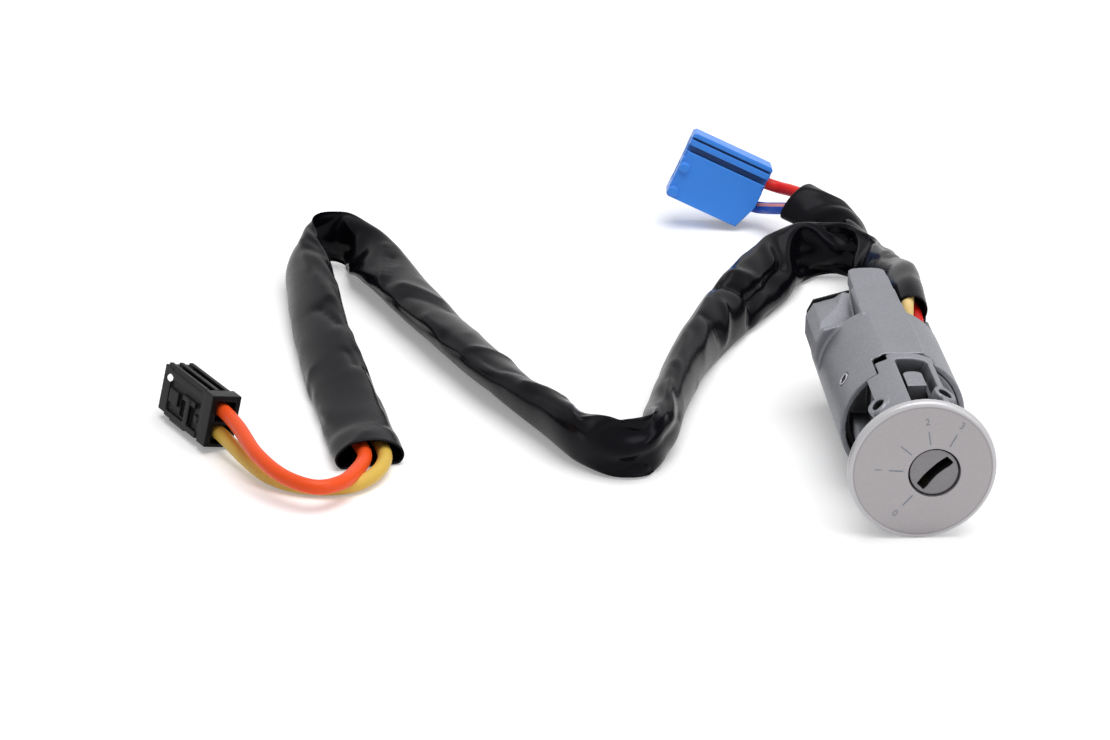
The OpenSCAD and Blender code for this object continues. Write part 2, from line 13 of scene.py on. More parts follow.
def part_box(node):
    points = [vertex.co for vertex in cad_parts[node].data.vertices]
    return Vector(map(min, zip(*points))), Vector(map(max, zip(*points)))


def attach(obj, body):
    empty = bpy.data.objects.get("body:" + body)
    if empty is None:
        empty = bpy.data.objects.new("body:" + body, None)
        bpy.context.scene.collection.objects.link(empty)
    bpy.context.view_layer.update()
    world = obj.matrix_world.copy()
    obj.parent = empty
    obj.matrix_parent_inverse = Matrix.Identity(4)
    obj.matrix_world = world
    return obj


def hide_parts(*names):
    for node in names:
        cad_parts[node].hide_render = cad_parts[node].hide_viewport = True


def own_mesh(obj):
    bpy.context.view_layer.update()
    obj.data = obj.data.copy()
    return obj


bl_info = {
    "name": "Ignition lock",
    "version": (1, 0, 0),
    "blender": (4, 5, 0),
    "location": "View3D > Sidebar > Ignition lock",
    "description": "Builds the looks of a car ignition lock with its switch and sleeved harness",
    "category": "Object",
}

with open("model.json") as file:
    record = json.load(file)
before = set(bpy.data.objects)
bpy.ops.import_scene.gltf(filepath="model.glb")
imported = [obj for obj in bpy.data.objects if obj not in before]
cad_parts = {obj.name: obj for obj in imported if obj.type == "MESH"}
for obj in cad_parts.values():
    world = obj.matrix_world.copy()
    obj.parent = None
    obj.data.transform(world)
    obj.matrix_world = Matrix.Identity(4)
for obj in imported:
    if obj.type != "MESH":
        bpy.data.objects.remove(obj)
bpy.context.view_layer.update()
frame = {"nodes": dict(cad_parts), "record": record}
NODES = frame["nodes"]
MM = 0.001

# Routes of the sleeves, millimetres and degrees: place, half width, half thickness, roll
MAIN_SKIN = [
    (9.9, 27.4, 30.2, 5.2, 4.8, 90), (10.4, 34, 31.2, 5.2, 4.6, 90), (10.8, 42, 31.4, 5, 4.6, 80),
    (11.4, 52, 30, 5.6, 4.8, 60), (12, 64, 25, 7, 5, 50),
    (12, 80, 18.8, 8.4, 5, 60), (12, 96, 14.4, 9, 5, 70), (12, 110, 11.2, 9.2, 4.8, 78),
    (11.4, 122, 9.6, 9, 4.6, 80), (8.4, 129.4, 9.4, 9.4, 4.4, 74), (2, 131, 9.2, 10, 4.4, 62),
    (-5, 130, 9.2, 10.4, 4.6, 56), (-12, 124, 9, 10.6, 4.8, 52), (-19.6, 111.4, 8.4, 10.6, 5, 50),
    (-31, 91, 8, 10.2, 5, 54), (-42, 69, 7.6, 9.2, 5.2, 72), (-50.6, 47, 7.4, 8.6, 5.4, 88),
    (-59, 16, 7.6, 8.4, 5.2, 94), (-62, 0, 8.2, 8.8, 4.8, 92),
    (-64.2, -10.6, 8.8, 9, 4.4, 90), (-70.6, -13, 9, 9, 4.2, 90),
    (-77, -11.2, 8.8, 9, 4.6, 92), (-82.6, -4.4, 8, 9, 5, 98), (-91, 14, 7, 9.2, 5.2, 114),
    (-102, 37, 6.4, 9.6, 5.2, 142), (-123, 86.6, 6.4, 9.6, 5.2, 158), (-131, 107, 7, 9.6, 5, 168),
    (-138.4, 126, 8, 9.8, 4.8, 184), (-145.4, 140.6, 9, 9.4, 4.4, 226), (-152.6, 149, 9.6, 9.4, 4.2, 262),
    (-161.4, 147, 9.4, 9.4, 4.4, 276), (-162.6, 131, 8.6, 9.4, 5, 298), (-160.2, 110, 7.6, 9.6, 5.2, 316),
    (-154.2, 66, 5.6, 9.6, 5.2, 330), (-147.6, 33, 3.8, 9.6, 5.4, 350), (-140.6, -3.4, 3, 9.6, 5.6, 360),
]
BRANCH_SKIN = [
    (-3.6, 165.4, 13.4, 8.4, 4.4, -26), (2, 159.6, 12, 8.2, 4.2, -24), (8, 153, 10.6, 7.8, 4.2, -10),
    (12.6, 145.4, 9.8, 7.2, 4.2, 20), (12.4, 136, 9.5, 6.6, 4.2, 60), (10.6, 127.6, 9.5, 4.8, 3.5, 76),
]
# Routes of the wires, millimetres
WIRE_ROUTES = {
    "wire_red": [(-21, 180.6, 18.8), (-12, 179.2, 14.9), (-7.9, 177.8, 13.8), (-4, 173, 14.2),
                 (0, 167, 14.4), (4, 161.6, 13.2), (9, 156, 11.6)],
    "wire_blue": [(-24.7, 179.7, 10.9), (-15.7, 178.3, 7), (-12.6, 175, 7.6), (-10.4, 169, 9.6),
                  (-5.6, 165, 10.8), (0.6, 160.4, 11), (6.6, 154.4, 10.4)],
    "wire_orange": [(-183.8, 17.1, 11.2), (-180, 10.5, 11.2), (-176, 2, 10.6), (-170, -13, 9), (-162, -24, 7.5),
                    (-154, -28, 6.6), (-148, -24, 5.8), (-144, -15, 5), (-142, -5, 4.5), (-144.4, 6, 4.2),
                    (-147, 17, 4)],
    "wire_yellow": [(-185.2, 16.3, 5), (-181.4, 9.7, 5), (-178, 3.4, 4.6), (-173, -5, 3.4), (-167, -13, 2.6),
                    (-160, -18, 2.4), (-152, -20, 2.4), (-145, -19, 2.6), (-139.6, -14, 3), (-136.6, -5, 3.6),
                    (-141, 15, 3.8)],
    "tail_cream": [(8.4, 24, 25.2), (8.4, 24.5, 28.5), (8.7, 27, 32.2), (9.4, 30.5, 33.4), (10.1, 36, 33.2),
                   (10.5, 43, 33.2), (11, 50, 31.8)],
    "tail_red": [(11.8, 27, 25.4), (11.8, 27.3, 27), (11.5, 29.5, 28.9), (10.9, 34, 29.6), (11.1, 42, 29.6),
                 (11.6, 50, 28.4), (12, 57, 26)],
}
WIRE_STEP = 0.5
# Least height of the sleeving over the floor, millimetres
FLOOR_GAP = 0.2
# Middle of the face and of the key plug, the key's lean and the catch's travel, millimetres and degrees
FACE_MIDDLE = (0, -52, 19)
PLUG_MIDDLE = (3, -52, 18.4)
KEY_LEAN = 45
# Painted highlight on the face's rolled rim, metres from its middle: where it starts and where it is full; and the
# painted shade line of the groove inside the rim
HIGHLIGHT_START, HIGHLIGHT_FULL, GROOVE_SHADE_LINE = 0.0177, 0.0181, 0.0176
# The camera's place, metres, and its axes: right, up and back
CAMERA_AT = (-0.123, -0.663, 0.3136)
CAMERA_AXES = ((0.9988, -0.0488, 0), (0.0194, 0.3967, 0.9178), (-0.0448, -0.9167, 0.3971))


# Settings


class StageSettings(bpy.types.PropertyGroup):
    """Light, floor and camera."""

    world_level: FloatProperty(
        name="Surround light", description="Strength of the even light from all round", default=0.3)
    key_power: FloatProperty(
        name="Key power", description="Power of the large lamp overhead", default=13.5, unit="POWER")
    fill_power: FloatProperty(
        name="Fill power", description="Power of the lamp on the right", default=3.0, unit="POWER")
    floor_color: FloatVectorProperty(
        name="Floor colour", description="Colour of the floor", subtype="COLOR", default=(0.95, 0.95, 0.955))
    floor_glow: FloatProperty(
        name="Floor glow", description="How much lighter the floor is seen than it is lit", default=0.25)
    lens: FloatProperty(name="Lens", description="Focal length on a 36 mm wide sensor", default=87.57, unit="CAMERA")


class CastingSettings(bpy.types.PropertyGroup):
    """Metal pieces of the lock."""

    zinc_color: FloatVectorProperty(
        name="Zinc", description="Colour of the die castings", subtype="COLOR", default=(0.235, 0.24, 0.265))
    paint_color: FloatVectorProperty(
        name="Face paint", description="Colour of the painted face", subtype="COLOR", default=(0.4, 0.378, 0.39))
    plug_color: FloatVectorProperty(
        name="Plug", description="Colour of the key plug", subtype="COLOR", default=(0.2, 0.192, 0.2))
    casting_cell: FloatProperty(
        name="Casting cell", description="Mesh cell that rounds the castings' edges", default=0.0003, unit="LENGTH")
    fine_cell: FloatProperty(
        name="Fine cell", description="Mesh cell that rounds the small pieces' edges", default=0.00014, unit="LENGTH")


class HarnessSettings(bpy.types.PropertyGroup):
    """Sleeves, wires and connectors."""

    sleeve_color: FloatVectorProperty(
        name="Sleeving", description="Colour of the soft sleeving", subtype="COLOR", default=(0.003, 0.003, 0.0045))
    sleeve_wall: FloatProperty(name="Sleeve wall", description="Wall of the sleeving", default=0.0007, unit="LENGTH")
    sleeve_step: FloatProperty(
        name="Sleeve step", description="Distance between the sleeve's rings", default=0.0014, unit="LENGTH")
    sleeve_sides: IntProperty(name="Sleeve sides", description="Points round each of the sleeve's rings", default=40)
    wire_d: FloatProperty(name="Wire", description="Diameter of the harness wires", default=0.004, unit="LENGTH")
    tail_d: FloatProperty(
        name="Tail", description="Diameter of the wires at the lock", default=0.0036, unit="LENGTH")
    blue_color: FloatVectorProperty(
        name="Blue connector", description="Colour of the blue connector", subtype="COLOR",
        default=(0.044, 0.265, 0.88))
    black_color: FloatVectorProperty(
        name="Black plastic", description="Colour of the black mouldings", subtype="COLOR",
        default=(0.0045, 0.0045, 0.006))


# Shader nodes


class Net:
    """Adds and links the nodes of one tree."""

    def __init__(self, tree):
        self.tree = tree

    def add(self, kind, sockets=None, **settings):
        """A node with its settings, and its inputs set to values or linked to other nodes' outputs."""
        node = self.tree.nodes.new(kind)
        for name, value in settings.items():
            setattr(node, name, value)
        for key, value in (sockets or {}).items():
            self.join(value, node.inputs[key])
        return node

    def join(self, value, socket):
        if isinstance(value, bpy.types.NodeSocket):
            self.tree.links.new(value, socket)
        else:
            socket.default_value = value

    def math(self, operation, a, b=0.0):
        return self.add("ShaderNodeMath", {0: a, 1: b}, operation=operation).outputs[0]

    def blend(self, share, a, b):
        return self.add("ShaderNodeMix", {0: share, 6: a, 7: b}, data_type="RGBA").outputs[2]

    def ramp(self, value, low, high, to_low=0.0, to_high=1.0):
        sockets = {0: value, 1: low, 2: high, 3: to_low, 4: to_high}
        return self.add("ShaderNodeMapRange", sockets, interpolation_type="SMOOTHSTEP").outputs[0]

    def noise(self, vector, scale, detail, rough=0.5):
        sockets = {"Vector": vector, "Scale": scale, "Detail": detail, "Roughness": rough}
        return self.add("ShaderNodeTexNoise", sockets).outputs[0]


def socket(group, name, kind, value=None, out=False):
    """Adds an input or an output to a node group."""
    made = group.interface.new_socket(name, in_out="OUTPUT" if out else "INPUT", socket_type=kind)
    if value is not None:
        made.default_value = value


def effect(name, inputs, outputs):
    """A shader node group with float inputs (name, default) and float outputs."""
    group = bpy.data.node_groups.new(name, "ShaderNodeTree")
    for label, value in inputs:
        socket(group, label, "NodeSocketFloat", value)
    for label in outputs:
        socket(group, label, "NodeSocketFloat", out=True)
    net = Net(group)
    return group, net, net.add("NodeGroupInput").outputs, net.add("NodeGroupOutput").inputs


def mottle_group():
    """Broad cloudy variation, as on a casting's skin."""
    group, net, get, put = effect("Mottle", [("Scale", 90.0)], ["Cloud", "Patch"])
    at = net.add("ShaderNodeTexCoord").outputs["Object"]
    cloud = net.noise(at, get["Scale"], 4.0, 0.6)
    patch = net.noise(at, net.math("MULTIPLY", get["Scale"], 0.31), 2.0)
    net.join(net.ramp(cloud, 0.3, 0.7), put["Cloud"])
    net.join(net.ramp(patch, 0.38, 0.62), put["Patch"])
    return group


def grain_group():
    """Fine grain: a height for bump and a speckle."""
    group, net, get, put = effect("Grain", [("Scale", 2200.0), ("Coarse", 0.35)], ["Height", "Speckle"])
    at = net.add("ShaderNodeTexCoord").outputs["Object"]
    fine = net.noise(at, get["Scale"], 3.0, 0.65)
    broad = net.noise(at, net.math("MULTIPLY", get["Scale"], get["Coarse"]), 2.0)
    total = net.math("ADD", net.math("MULTIPLY", fine, 0.6), net.math("MULTIPLY", broad, 0.4))
    net.join(total, put["Height"])
    net.join(net.ramp(fine, 0.35, 0.65), put["Speckle"])
    return group


def rubbing_and_shade_group():
    """Lighter rubbed edges, and painted shade in creases and in cavities, from how the surface turns and how open it
    is.
    """
    inputs = [("Edge", 0.53), ("Hollow", 0.47), ("Scale", 400.0), ("Reach", 0.008)]
    group, net, get, put = effect("Edge rubbing and shade", inputs, ["Rubbed", "Crease shade", "Cavity shade"])
    turn = net.add("ShaderNodeNewGeometry").outputs["Pointiness"]
    at = net.add("ShaderNodeTexCoord").outputs["Object"]
    patchy = net.noise(at, get["Scale"], 3.0)
    edge_end = net.math("ADD", get["Edge"], 0.06)
    hollow_end = net.math("SUBTRACT", get["Hollow"], 0.06)
    rubbed = net.ramp(turn, get["Edge"], edge_end)
    # Painted shade: darker in patches where the surface turns inwards, in creases and hollows
    crease_shade = net.ramp(turn, get["Hollow"], hollow_end)
    net.join(net.math("MULTIPLY", rubbed, net.ramp(patchy, 0.25, 0.6)), put["Rubbed"])
    net.join(net.math("MULTIPLY", crease_shade, net.ramp(patchy, 0.2, 0.7)), put["Crease shade"])
    # Painted shade: much darker where little of the surroundings is open, found by ambient occlusion
    open_share = net.add("ShaderNodeAmbientOcclusion", {"Distance": get["Reach"]}, samples=8).outputs["AO"]
    net.join(net.ramp(open_share, 0.85, 0.25), put["Cavity shade"])
    return group


GROUPS = {}


def group_node(net, name, values):
    """The outputs of a shared effect, which is made on first use."""
    if name not in GROUPS:
        GROUPS[name] = {"Mottle": mottle_group, "Grain": grain_group, "Edge rubbing and shade": rubbing_and_shade_group}[name]()
    node = net.tree.nodes.new("ShaderNodeGroup")
    node.node_tree = GROUPS[name]
    for key, value in values.items():
        net.join(value, node.inputs[key])
    return node.outputs


def shade(color, times):
    """A colour made lighter or darker."""
    return tuple(min(1.0, c * times) for c in color[:3]) + (1.0,)


def finish_of(name, color, rough, metal, mottle, grain, rub_and_shade=(0.0, 0.0), bend=None, principled=None):
    """A material with cloudy colour, grain in its roughness and bump, worn edges and painted shade in creases and
    cavities.

    mottle is (scale, share), grain is (scale, bump strength), the pair after grain is (rubbed share, painted shade
    share), bend paints over the colour, and principled sets the surface's own inputs.
    """
    material = bpy.data.materials.new(name)
    material.use_nodes = True
    net = Net(material.node_tree)
    surface = net.tree.nodes["Principled BSDF"]
    cloud = group_node(net, "Mottle", {"Scale": mottle[0]})
    speck = group_node(net, "Grain", {"Scale": grain[0]})
    share = mottle[1]
    cloudy = net.math("MULTIPLY", cloud["Cloud"], share * 2)
    tint = net.blend(cloudy, shade(color, 1 + share), shade(color, 1 - share * 1.6))
    tint = net.blend(net.math("MULTIPLY", speck["Speckle"], 0.35), tint, shade(color, 1 - share))
    if any(rub_and_shade):
        edges = group_node(net, "Edge rubbing and shade", {})
        tint = net.blend(net.math("MULTIPLY", edges["Rubbed"], rub_and_shade[0]), tint, shade(color, 1.7))
        # Painted shade: darker in creases, and much darker in cavities
        tint = net.blend(net.math("MULTIPLY", edges["Crease shade"], rub_and_shade[1]), tint, shade(color, 0.35))
        tint = net.blend(net.math("MULTIPLY", edges["Cavity shade"], min(1.0, 1.8 * rub_and_shade[1])), tint, shade(color, 0.1))
    if bend:
        tint = bend(net, tint)
    net.join(tint, surface.inputs["Base Color"])
    uneven = net.math("ADD", net.math("MULTIPLY", cloud["Patch"], 0.5), net.math("MULTIPLY", speck["Speckle"], 0.5))
    net.join(net.ramp(uneven, 0.0, 1.0, rough - 0.06, rough + 0.06), surface.inputs["Roughness"])
    bump = net.add("ShaderNodeBump", {"Strength": grain[1], "Distance": 0.0002, "Height": speck["Height"]})
    net.join(bump.outputs[0], surface.inputs["Normal"])
    surface.inputs["Metallic"].default_value = metal
    for key, value in (principled or {}).items():
        surface.inputs[key].default_value = value
    return material


def tracer(net, tint):
    """A thin pinkish line along the insulation."""
    upper = net.add("ShaderNodeAttribute", attribute_name="upper").outputs["Fac"]
    return net.blend(net.ramp(upper, 0.93, 0.96), tint, (0.68, 0.28, 0.28, 1.0))


def rim_highlight_and_groove_shade(net, tint):
    """Painted highlight on the face's rolled rim, lighter all round, with a painted shade line in the groove where the
    rim meets the flat.
    """
    at, middle = net.add("ShaderNodeTexCoord").outputs["Object"], (0.0, 0.0, FACE_MIDDLE[2] * MM)
    flat = net.add("ShaderNodeVectorMath", {0: at, 1: middle}, operation="SUBTRACT").outputs[0]
    flat = net.add("ShaderNodeVectorMath", {0: flat, 1: (1.0, 0.0, 1.0)}, operation="MULTIPLY").outputs[0]
    out = net.add("ShaderNodeVectorMath", {0: flat}, operation="LENGTH").outputs["Value"]
    # Painted highlight: the rolled rim made lighter all round
    tint = net.blend(net.ramp(out, HIGHLIGHT_START, HIGHLIGHT_FULL), tint, (0.55, 0.54, 0.56, 1.0))
    # Painted shade: a dark line in the groove inside the rim
    off = net.math("ABSOLUTE", net.math("SUBTRACT", out, GROOVE_SHADE_LINE))
    return net.blend(net.ramp(off, 0.00022, 0.00006, 0.0, 0.4), tint, (0.17, 0.165, 0.17, 1.0))


# What the soft insulation, the black mouldings and the sleeving set on their surfaces
SOFT = {"principled": {"Specular IOR Level": 0.22}}
DULL = {"principled": {"Specular IOR Level": 0.12}}
SLEEK = {"principled": {"Specular IOR Level": 0.085, "Specular Tint": (0.96, 0.9, 1.0, 1.0)}}
MATERIALS = {}


def material(name):
    """The named finish, built on first use from the panel's settings."""
    if name not in MATERIALS:
        metal, harness = bpy.context.scene.lock_castings, bpy.context.scene.lock_harness
        # Colour, roughness, metal, mottle, grain and what else the finish has, such as the shares of rubbed edges and
        # of painted shade in hollows
        rows = {
            "zinc_casting": (metal.zinc_color, 0.5, 0.5, (70.0, 0.13), (1100.0, 0.3), {"rub_and_shade": (0.35, 0.5)}),
            "face_paint": (metal.paint_color, 0.38, 0.35, (60.0, 0.07), (1600.0, 0.12),
                           {"rub_and_shade": (0.3, 0.2), "bend": rim_highlight_and_groove_shade}),
            "plug_metal": (metal.plug_color, 0.4, 0.8, (120.0, 0.1), (2600.0, 0.08), {"rub_and_shade": (0.4, 0.4)}),
            "spring_steel": ((0.42, 0.42, 0.45), 0.32, 0.95, (200.0, 0.08), (2600.0, 0.06), {}),
            "brass": ((0.6, 0.42, 0.14), 0.34, 0.95, (200.0, 0.1), (2600.0, 0.05), {}),
            "black_plastic": (harness.black_color, 0.4, 0.0, (120.0, 0.2), (2600.0, 0.1), {"rub_and_shade": (0.3, 0.3), **DULL}),
            "black_sleeving": (harness.sleeve_color, 0.25, 0.0, (60.0, 0.25), (1800.0, 0.03), SLEEK),
            "rotor_plastic": ((0.62, 0.57, 0.45), 0.5, 0.0, (120.0, 0.06), (2000.0, 0.06), {}),
            "terminal_board": ((0.14, 0.06, 0.03), 0.55, 0.0, (200.0, 0.2), (2000.0, 0.1), {}),
            "blue_plastic": (harness.blue_color, 0.4, 0.0, (80.0, 0.08), (2400.0, 0.07), {"rub_and_shade": (0.25, 0.45)}),
            "mark_ink": ((0.2, 0.235, 0.275), 0.5, 0.0, (300.0, 0.2), (3000.0, 0.05), {}),
        }
        # Colour, roughness and mottle's share of the wires
        wires = {
            "orange": ((0.9, 0.09, 0.014), 0.36, 0.06), "yellow": ((0.72, 0.47, 0.085), 0.36, 0.08),
            "red": ((0.82, 0.022, 0.016), 0.34, 0.06), "blue": ((0.022, 0.085, 0.45), 0.34, 0.08),
            "cream": ((0.87, 0.63, 0.26), 0.36, 0.06),
        }
        for hue, (color, rough, share) in wires.items():
            more = {"bend": tracer, **SOFT} if hue == "blue" else SOFT
            rows[hue + "_insulation"] = (color, rough, 0.0, (150.0, share), (2600.0, 0.03), more)
        *values, more = rows[name]
        MATERIALS[name] = finish_of(name, *values, **more)
    return MATERIALS[name]


# Meshes


def place(name, mesh, finish, body="lock", nodes=()):
    """Links a finished mesh as a piece of the object, riding on a body and standing for its nodes."""
    obj = bpy.data.objects.new(name, mesh)
    bpy.context.scene.collection.objects.link(obj)
    mesh.materials.clear()
    mesh.materials.append(material(finish))
    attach(obj, body)
    if nodes:
        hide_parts(*nodes)
    return obj


def made_plain(obj):
    """The mesh of an object with its modifiers carried out; the object itself goes."""
    bpy.context.view_layer.update()
    mesh = bpy.data.meshes.new_from_object(obj.evaluated_get(bpy.context.evaluated_depsgraph_get()))
    bpy.data.objects.remove(obj)
    return mesh


def temporary(name, data):
    """An object that only carries modifiers for a while."""
    obj = bpy.data.objects.new(name, data)
    bpy.context.scene.collection.objects.link(obj)
    return obj


def merged(node):
    """A copy of a solid's mesh with its points joined."""
    mesh = NODES[node].data.copy()
    work = bmesh.new()
    work.from_mesh(mesh)
    bmesh.ops.remove_doubles(work, verts=work.verts, dist=1e-6)
    work.to_mesh(mesh)
    work.free()
    return mesh


def softened(node, cell, rounds, share):
    """A copy of a solid's mesh with every edge rounded, as cast or moulded."""
    return rounded(temporary("soft_" + node, merged(node)), cell, rounds, share)


def mesh_of(work, name, frame_at=None):
    """The mesh of what was built; with a frame, it was built in millimetres and is set there."""
    if frame_at is not None:
        bmesh.ops.transform(work, matrix=frame_at @ Matrix.Diagonal((MM, MM, MM, 1)), verts=work.verts)
    mesh = bpy.data.meshes.new(name)
    work.to_mesh(mesh)
    work.free()
    return mesh


def solid_of(name, boxes, pegs, frame_at):
    """One mesh of boxes (two corners each) and round pegs (start, end, radius), millimetres, set in a frame."""
    work = bmesh.new()
    for low, high in boxes:
        size, middle = Vector(high) - Vector(low), (Vector(high) + Vector(low)) / 2
        bmesh.ops.create_cube(work, size=1, matrix=Matrix.Translation(middle) @ Matrix.Diagonal((*size, 1)))
    for start, end, radius in pegs:
        ahead = Vector(end) - Vector(start)
        turn = ahead.to_track_quat("Z", "Y").to_matrix().to_4x4()
        bmesh.ops.create_cone(work, cap_ends=True, segments=40, radius1=radius, radius2=radius, depth=ahead.length,
                              matrix=Matrix.Translation((Vector(end) + Vector(start)) / 2) @ turn)
    return mesh_of(work, name, frame_at)


def prism(name, outline, start, end, frame_at):
    """A flat outline in X and Z drawn out along Y, millimetres, set in a frame."""
    work = bmesh.new()
    face = work.faces.new([work.verts.new((x, start, z)) for x, z in outline])
    drawn = bmesh.ops.extrude_face_region(work, geom=[face])["geom"]
    bmesh.ops.translate(work, vec=(0, end - start, 0), verts=[v for v in drawn if isinstance(v, bmesh.types.BMVert)])
    bmesh.ops.recalc_face_normals(work, faces=work.faces)
    return mesh_of(work, name, frame_at)


def joined(name, meshes):
    """One mesh of several."""
    work = bmesh.new()
    for mesh in meshes:
        work.from_mesh(mesh)
    return mesh_of(work, name)


def moulded(name, mesh, cuts, cell, rounds, share):
    """A solid with pieces cut out of it and every edge rounded, as moulded."""
    obj, tool = temporary(name, mesh), temporary(name + "_cuts", cuts)
    for each in (obj, tool):
        whole = each.modifiers.new("Joined", "REMESH")
        whole.mode, whole.voxel_size = "VOXEL", cell
    cut = obj.modifiers.new("Cut", "BOOLEAN")
    cut.operation, cut.solver, cut.object, cut.use_self = "DIFFERENCE", "EXACT", tool, False
    made = made_plain(obj)
    bpy.data.objects.remove(tool)
    if not made.polygons:
        raise RuntimeError("nothing is left of " + name)
    return rounded(temporary(name, made), cell, rounds, share)


def rounded(obj, cell, rounds, share):
    """The mesh of a solid object with its edges rounded."""
    remesh = obj.modifiers.new("Cells", "REMESH")
    remesh.mode, remesh.voxel_size, remesh.use_smooth_shade = "VOXEL", cell, True
    smooth = obj.modifiers.new("Rounding", "SMOOTH")
    smooth.factor, smooth.iterations = 0.5, rounds
    thin = obj.modifiers.new("Thinning", "DECIMATE")
    thin.ratio = share
    made = made_plain(obj)
    made.shade_smooth()
    return made


def spline(keys, step):
    """A smooth line through rows of numbers, each a place first, at even steps; also the distance along it."""
    keys = np.array(keys, float)
    knots = np.concatenate([[0], np.cumsum(np.linalg.norm(np.diff(keys[:, :3], axis=0), axis=1) ** 0.5)])
    slope = np.gradient(keys, knots, axis=0)
    fine = np.linspace(0, knots[-1], 6000)
    i = np.clip(np.searchsorted(knots, fine, side="right") - 1, 0, len(knots) - 2)
    gap = (knots[i + 1] - knots[i])[:, None]
    u = (fine - knots[i])[:, None] / gap
    rows = ((2 * u**3 - 3 * u**2 + 1) * keys[i] + (u**3 - 2 * u**2 + u) * gap * slope[i]
            + (3 * u**2 - 2 * u**3) * keys[i + 1] + (u**3 - u**2) * gap * slope[i + 1])
    along = np.concatenate([[0], np.cumsum(np.linalg.norm(np.diff(rows[:, :3], axis=0), axis=1))])
    at = np.linspace(0, along[-1], max(2, int(along[-1] / step) + 1))
    return np.stack([np.interp(at, along, rows[:, k]) for k in range(rows.shape[1])], 1), at


def axes_along(line):
    """Unit vectors along a line, to its side and up, at each of its points."""
    ahead = np.gradient(line, axis=0)
    ahead /= np.linalg.norm(ahead, axis=1)[:, None]
    side = np.cross(ahead, (0, 0, 1.0))
    side /= np.linalg.norm(side, axis=1)[:, None]
    return ahead, side, np.cross(side, ahead)


def ring_faces(rings, sides, first=0, turned=False):
    """Quads between neighbouring rings of points."""
    a = first + np.arange(rings - 1)[:, None] * sides + np.arange(sides)[None, :]
    b = first + np.arange(rings - 1)[:, None] * sides + (np.arange(sides)[None, :] + 1) % sides
    quads = np.stack([a, b, b + sides, a + sides], -1).reshape(-1, 4)
    return quads[:, ::-1] if turned else quads


def mesh_from(name, points, faces):
    """A smooth mesh of points and faces."""
    mesh = bpy.data.meshes.new(name)
    mesh.from_pydata([tuple(p) for p in points], [], [tuple(int(i) for i in f) for f in faces])
    mesh.validate()
    mesh.shade_smooth()
    return mesh


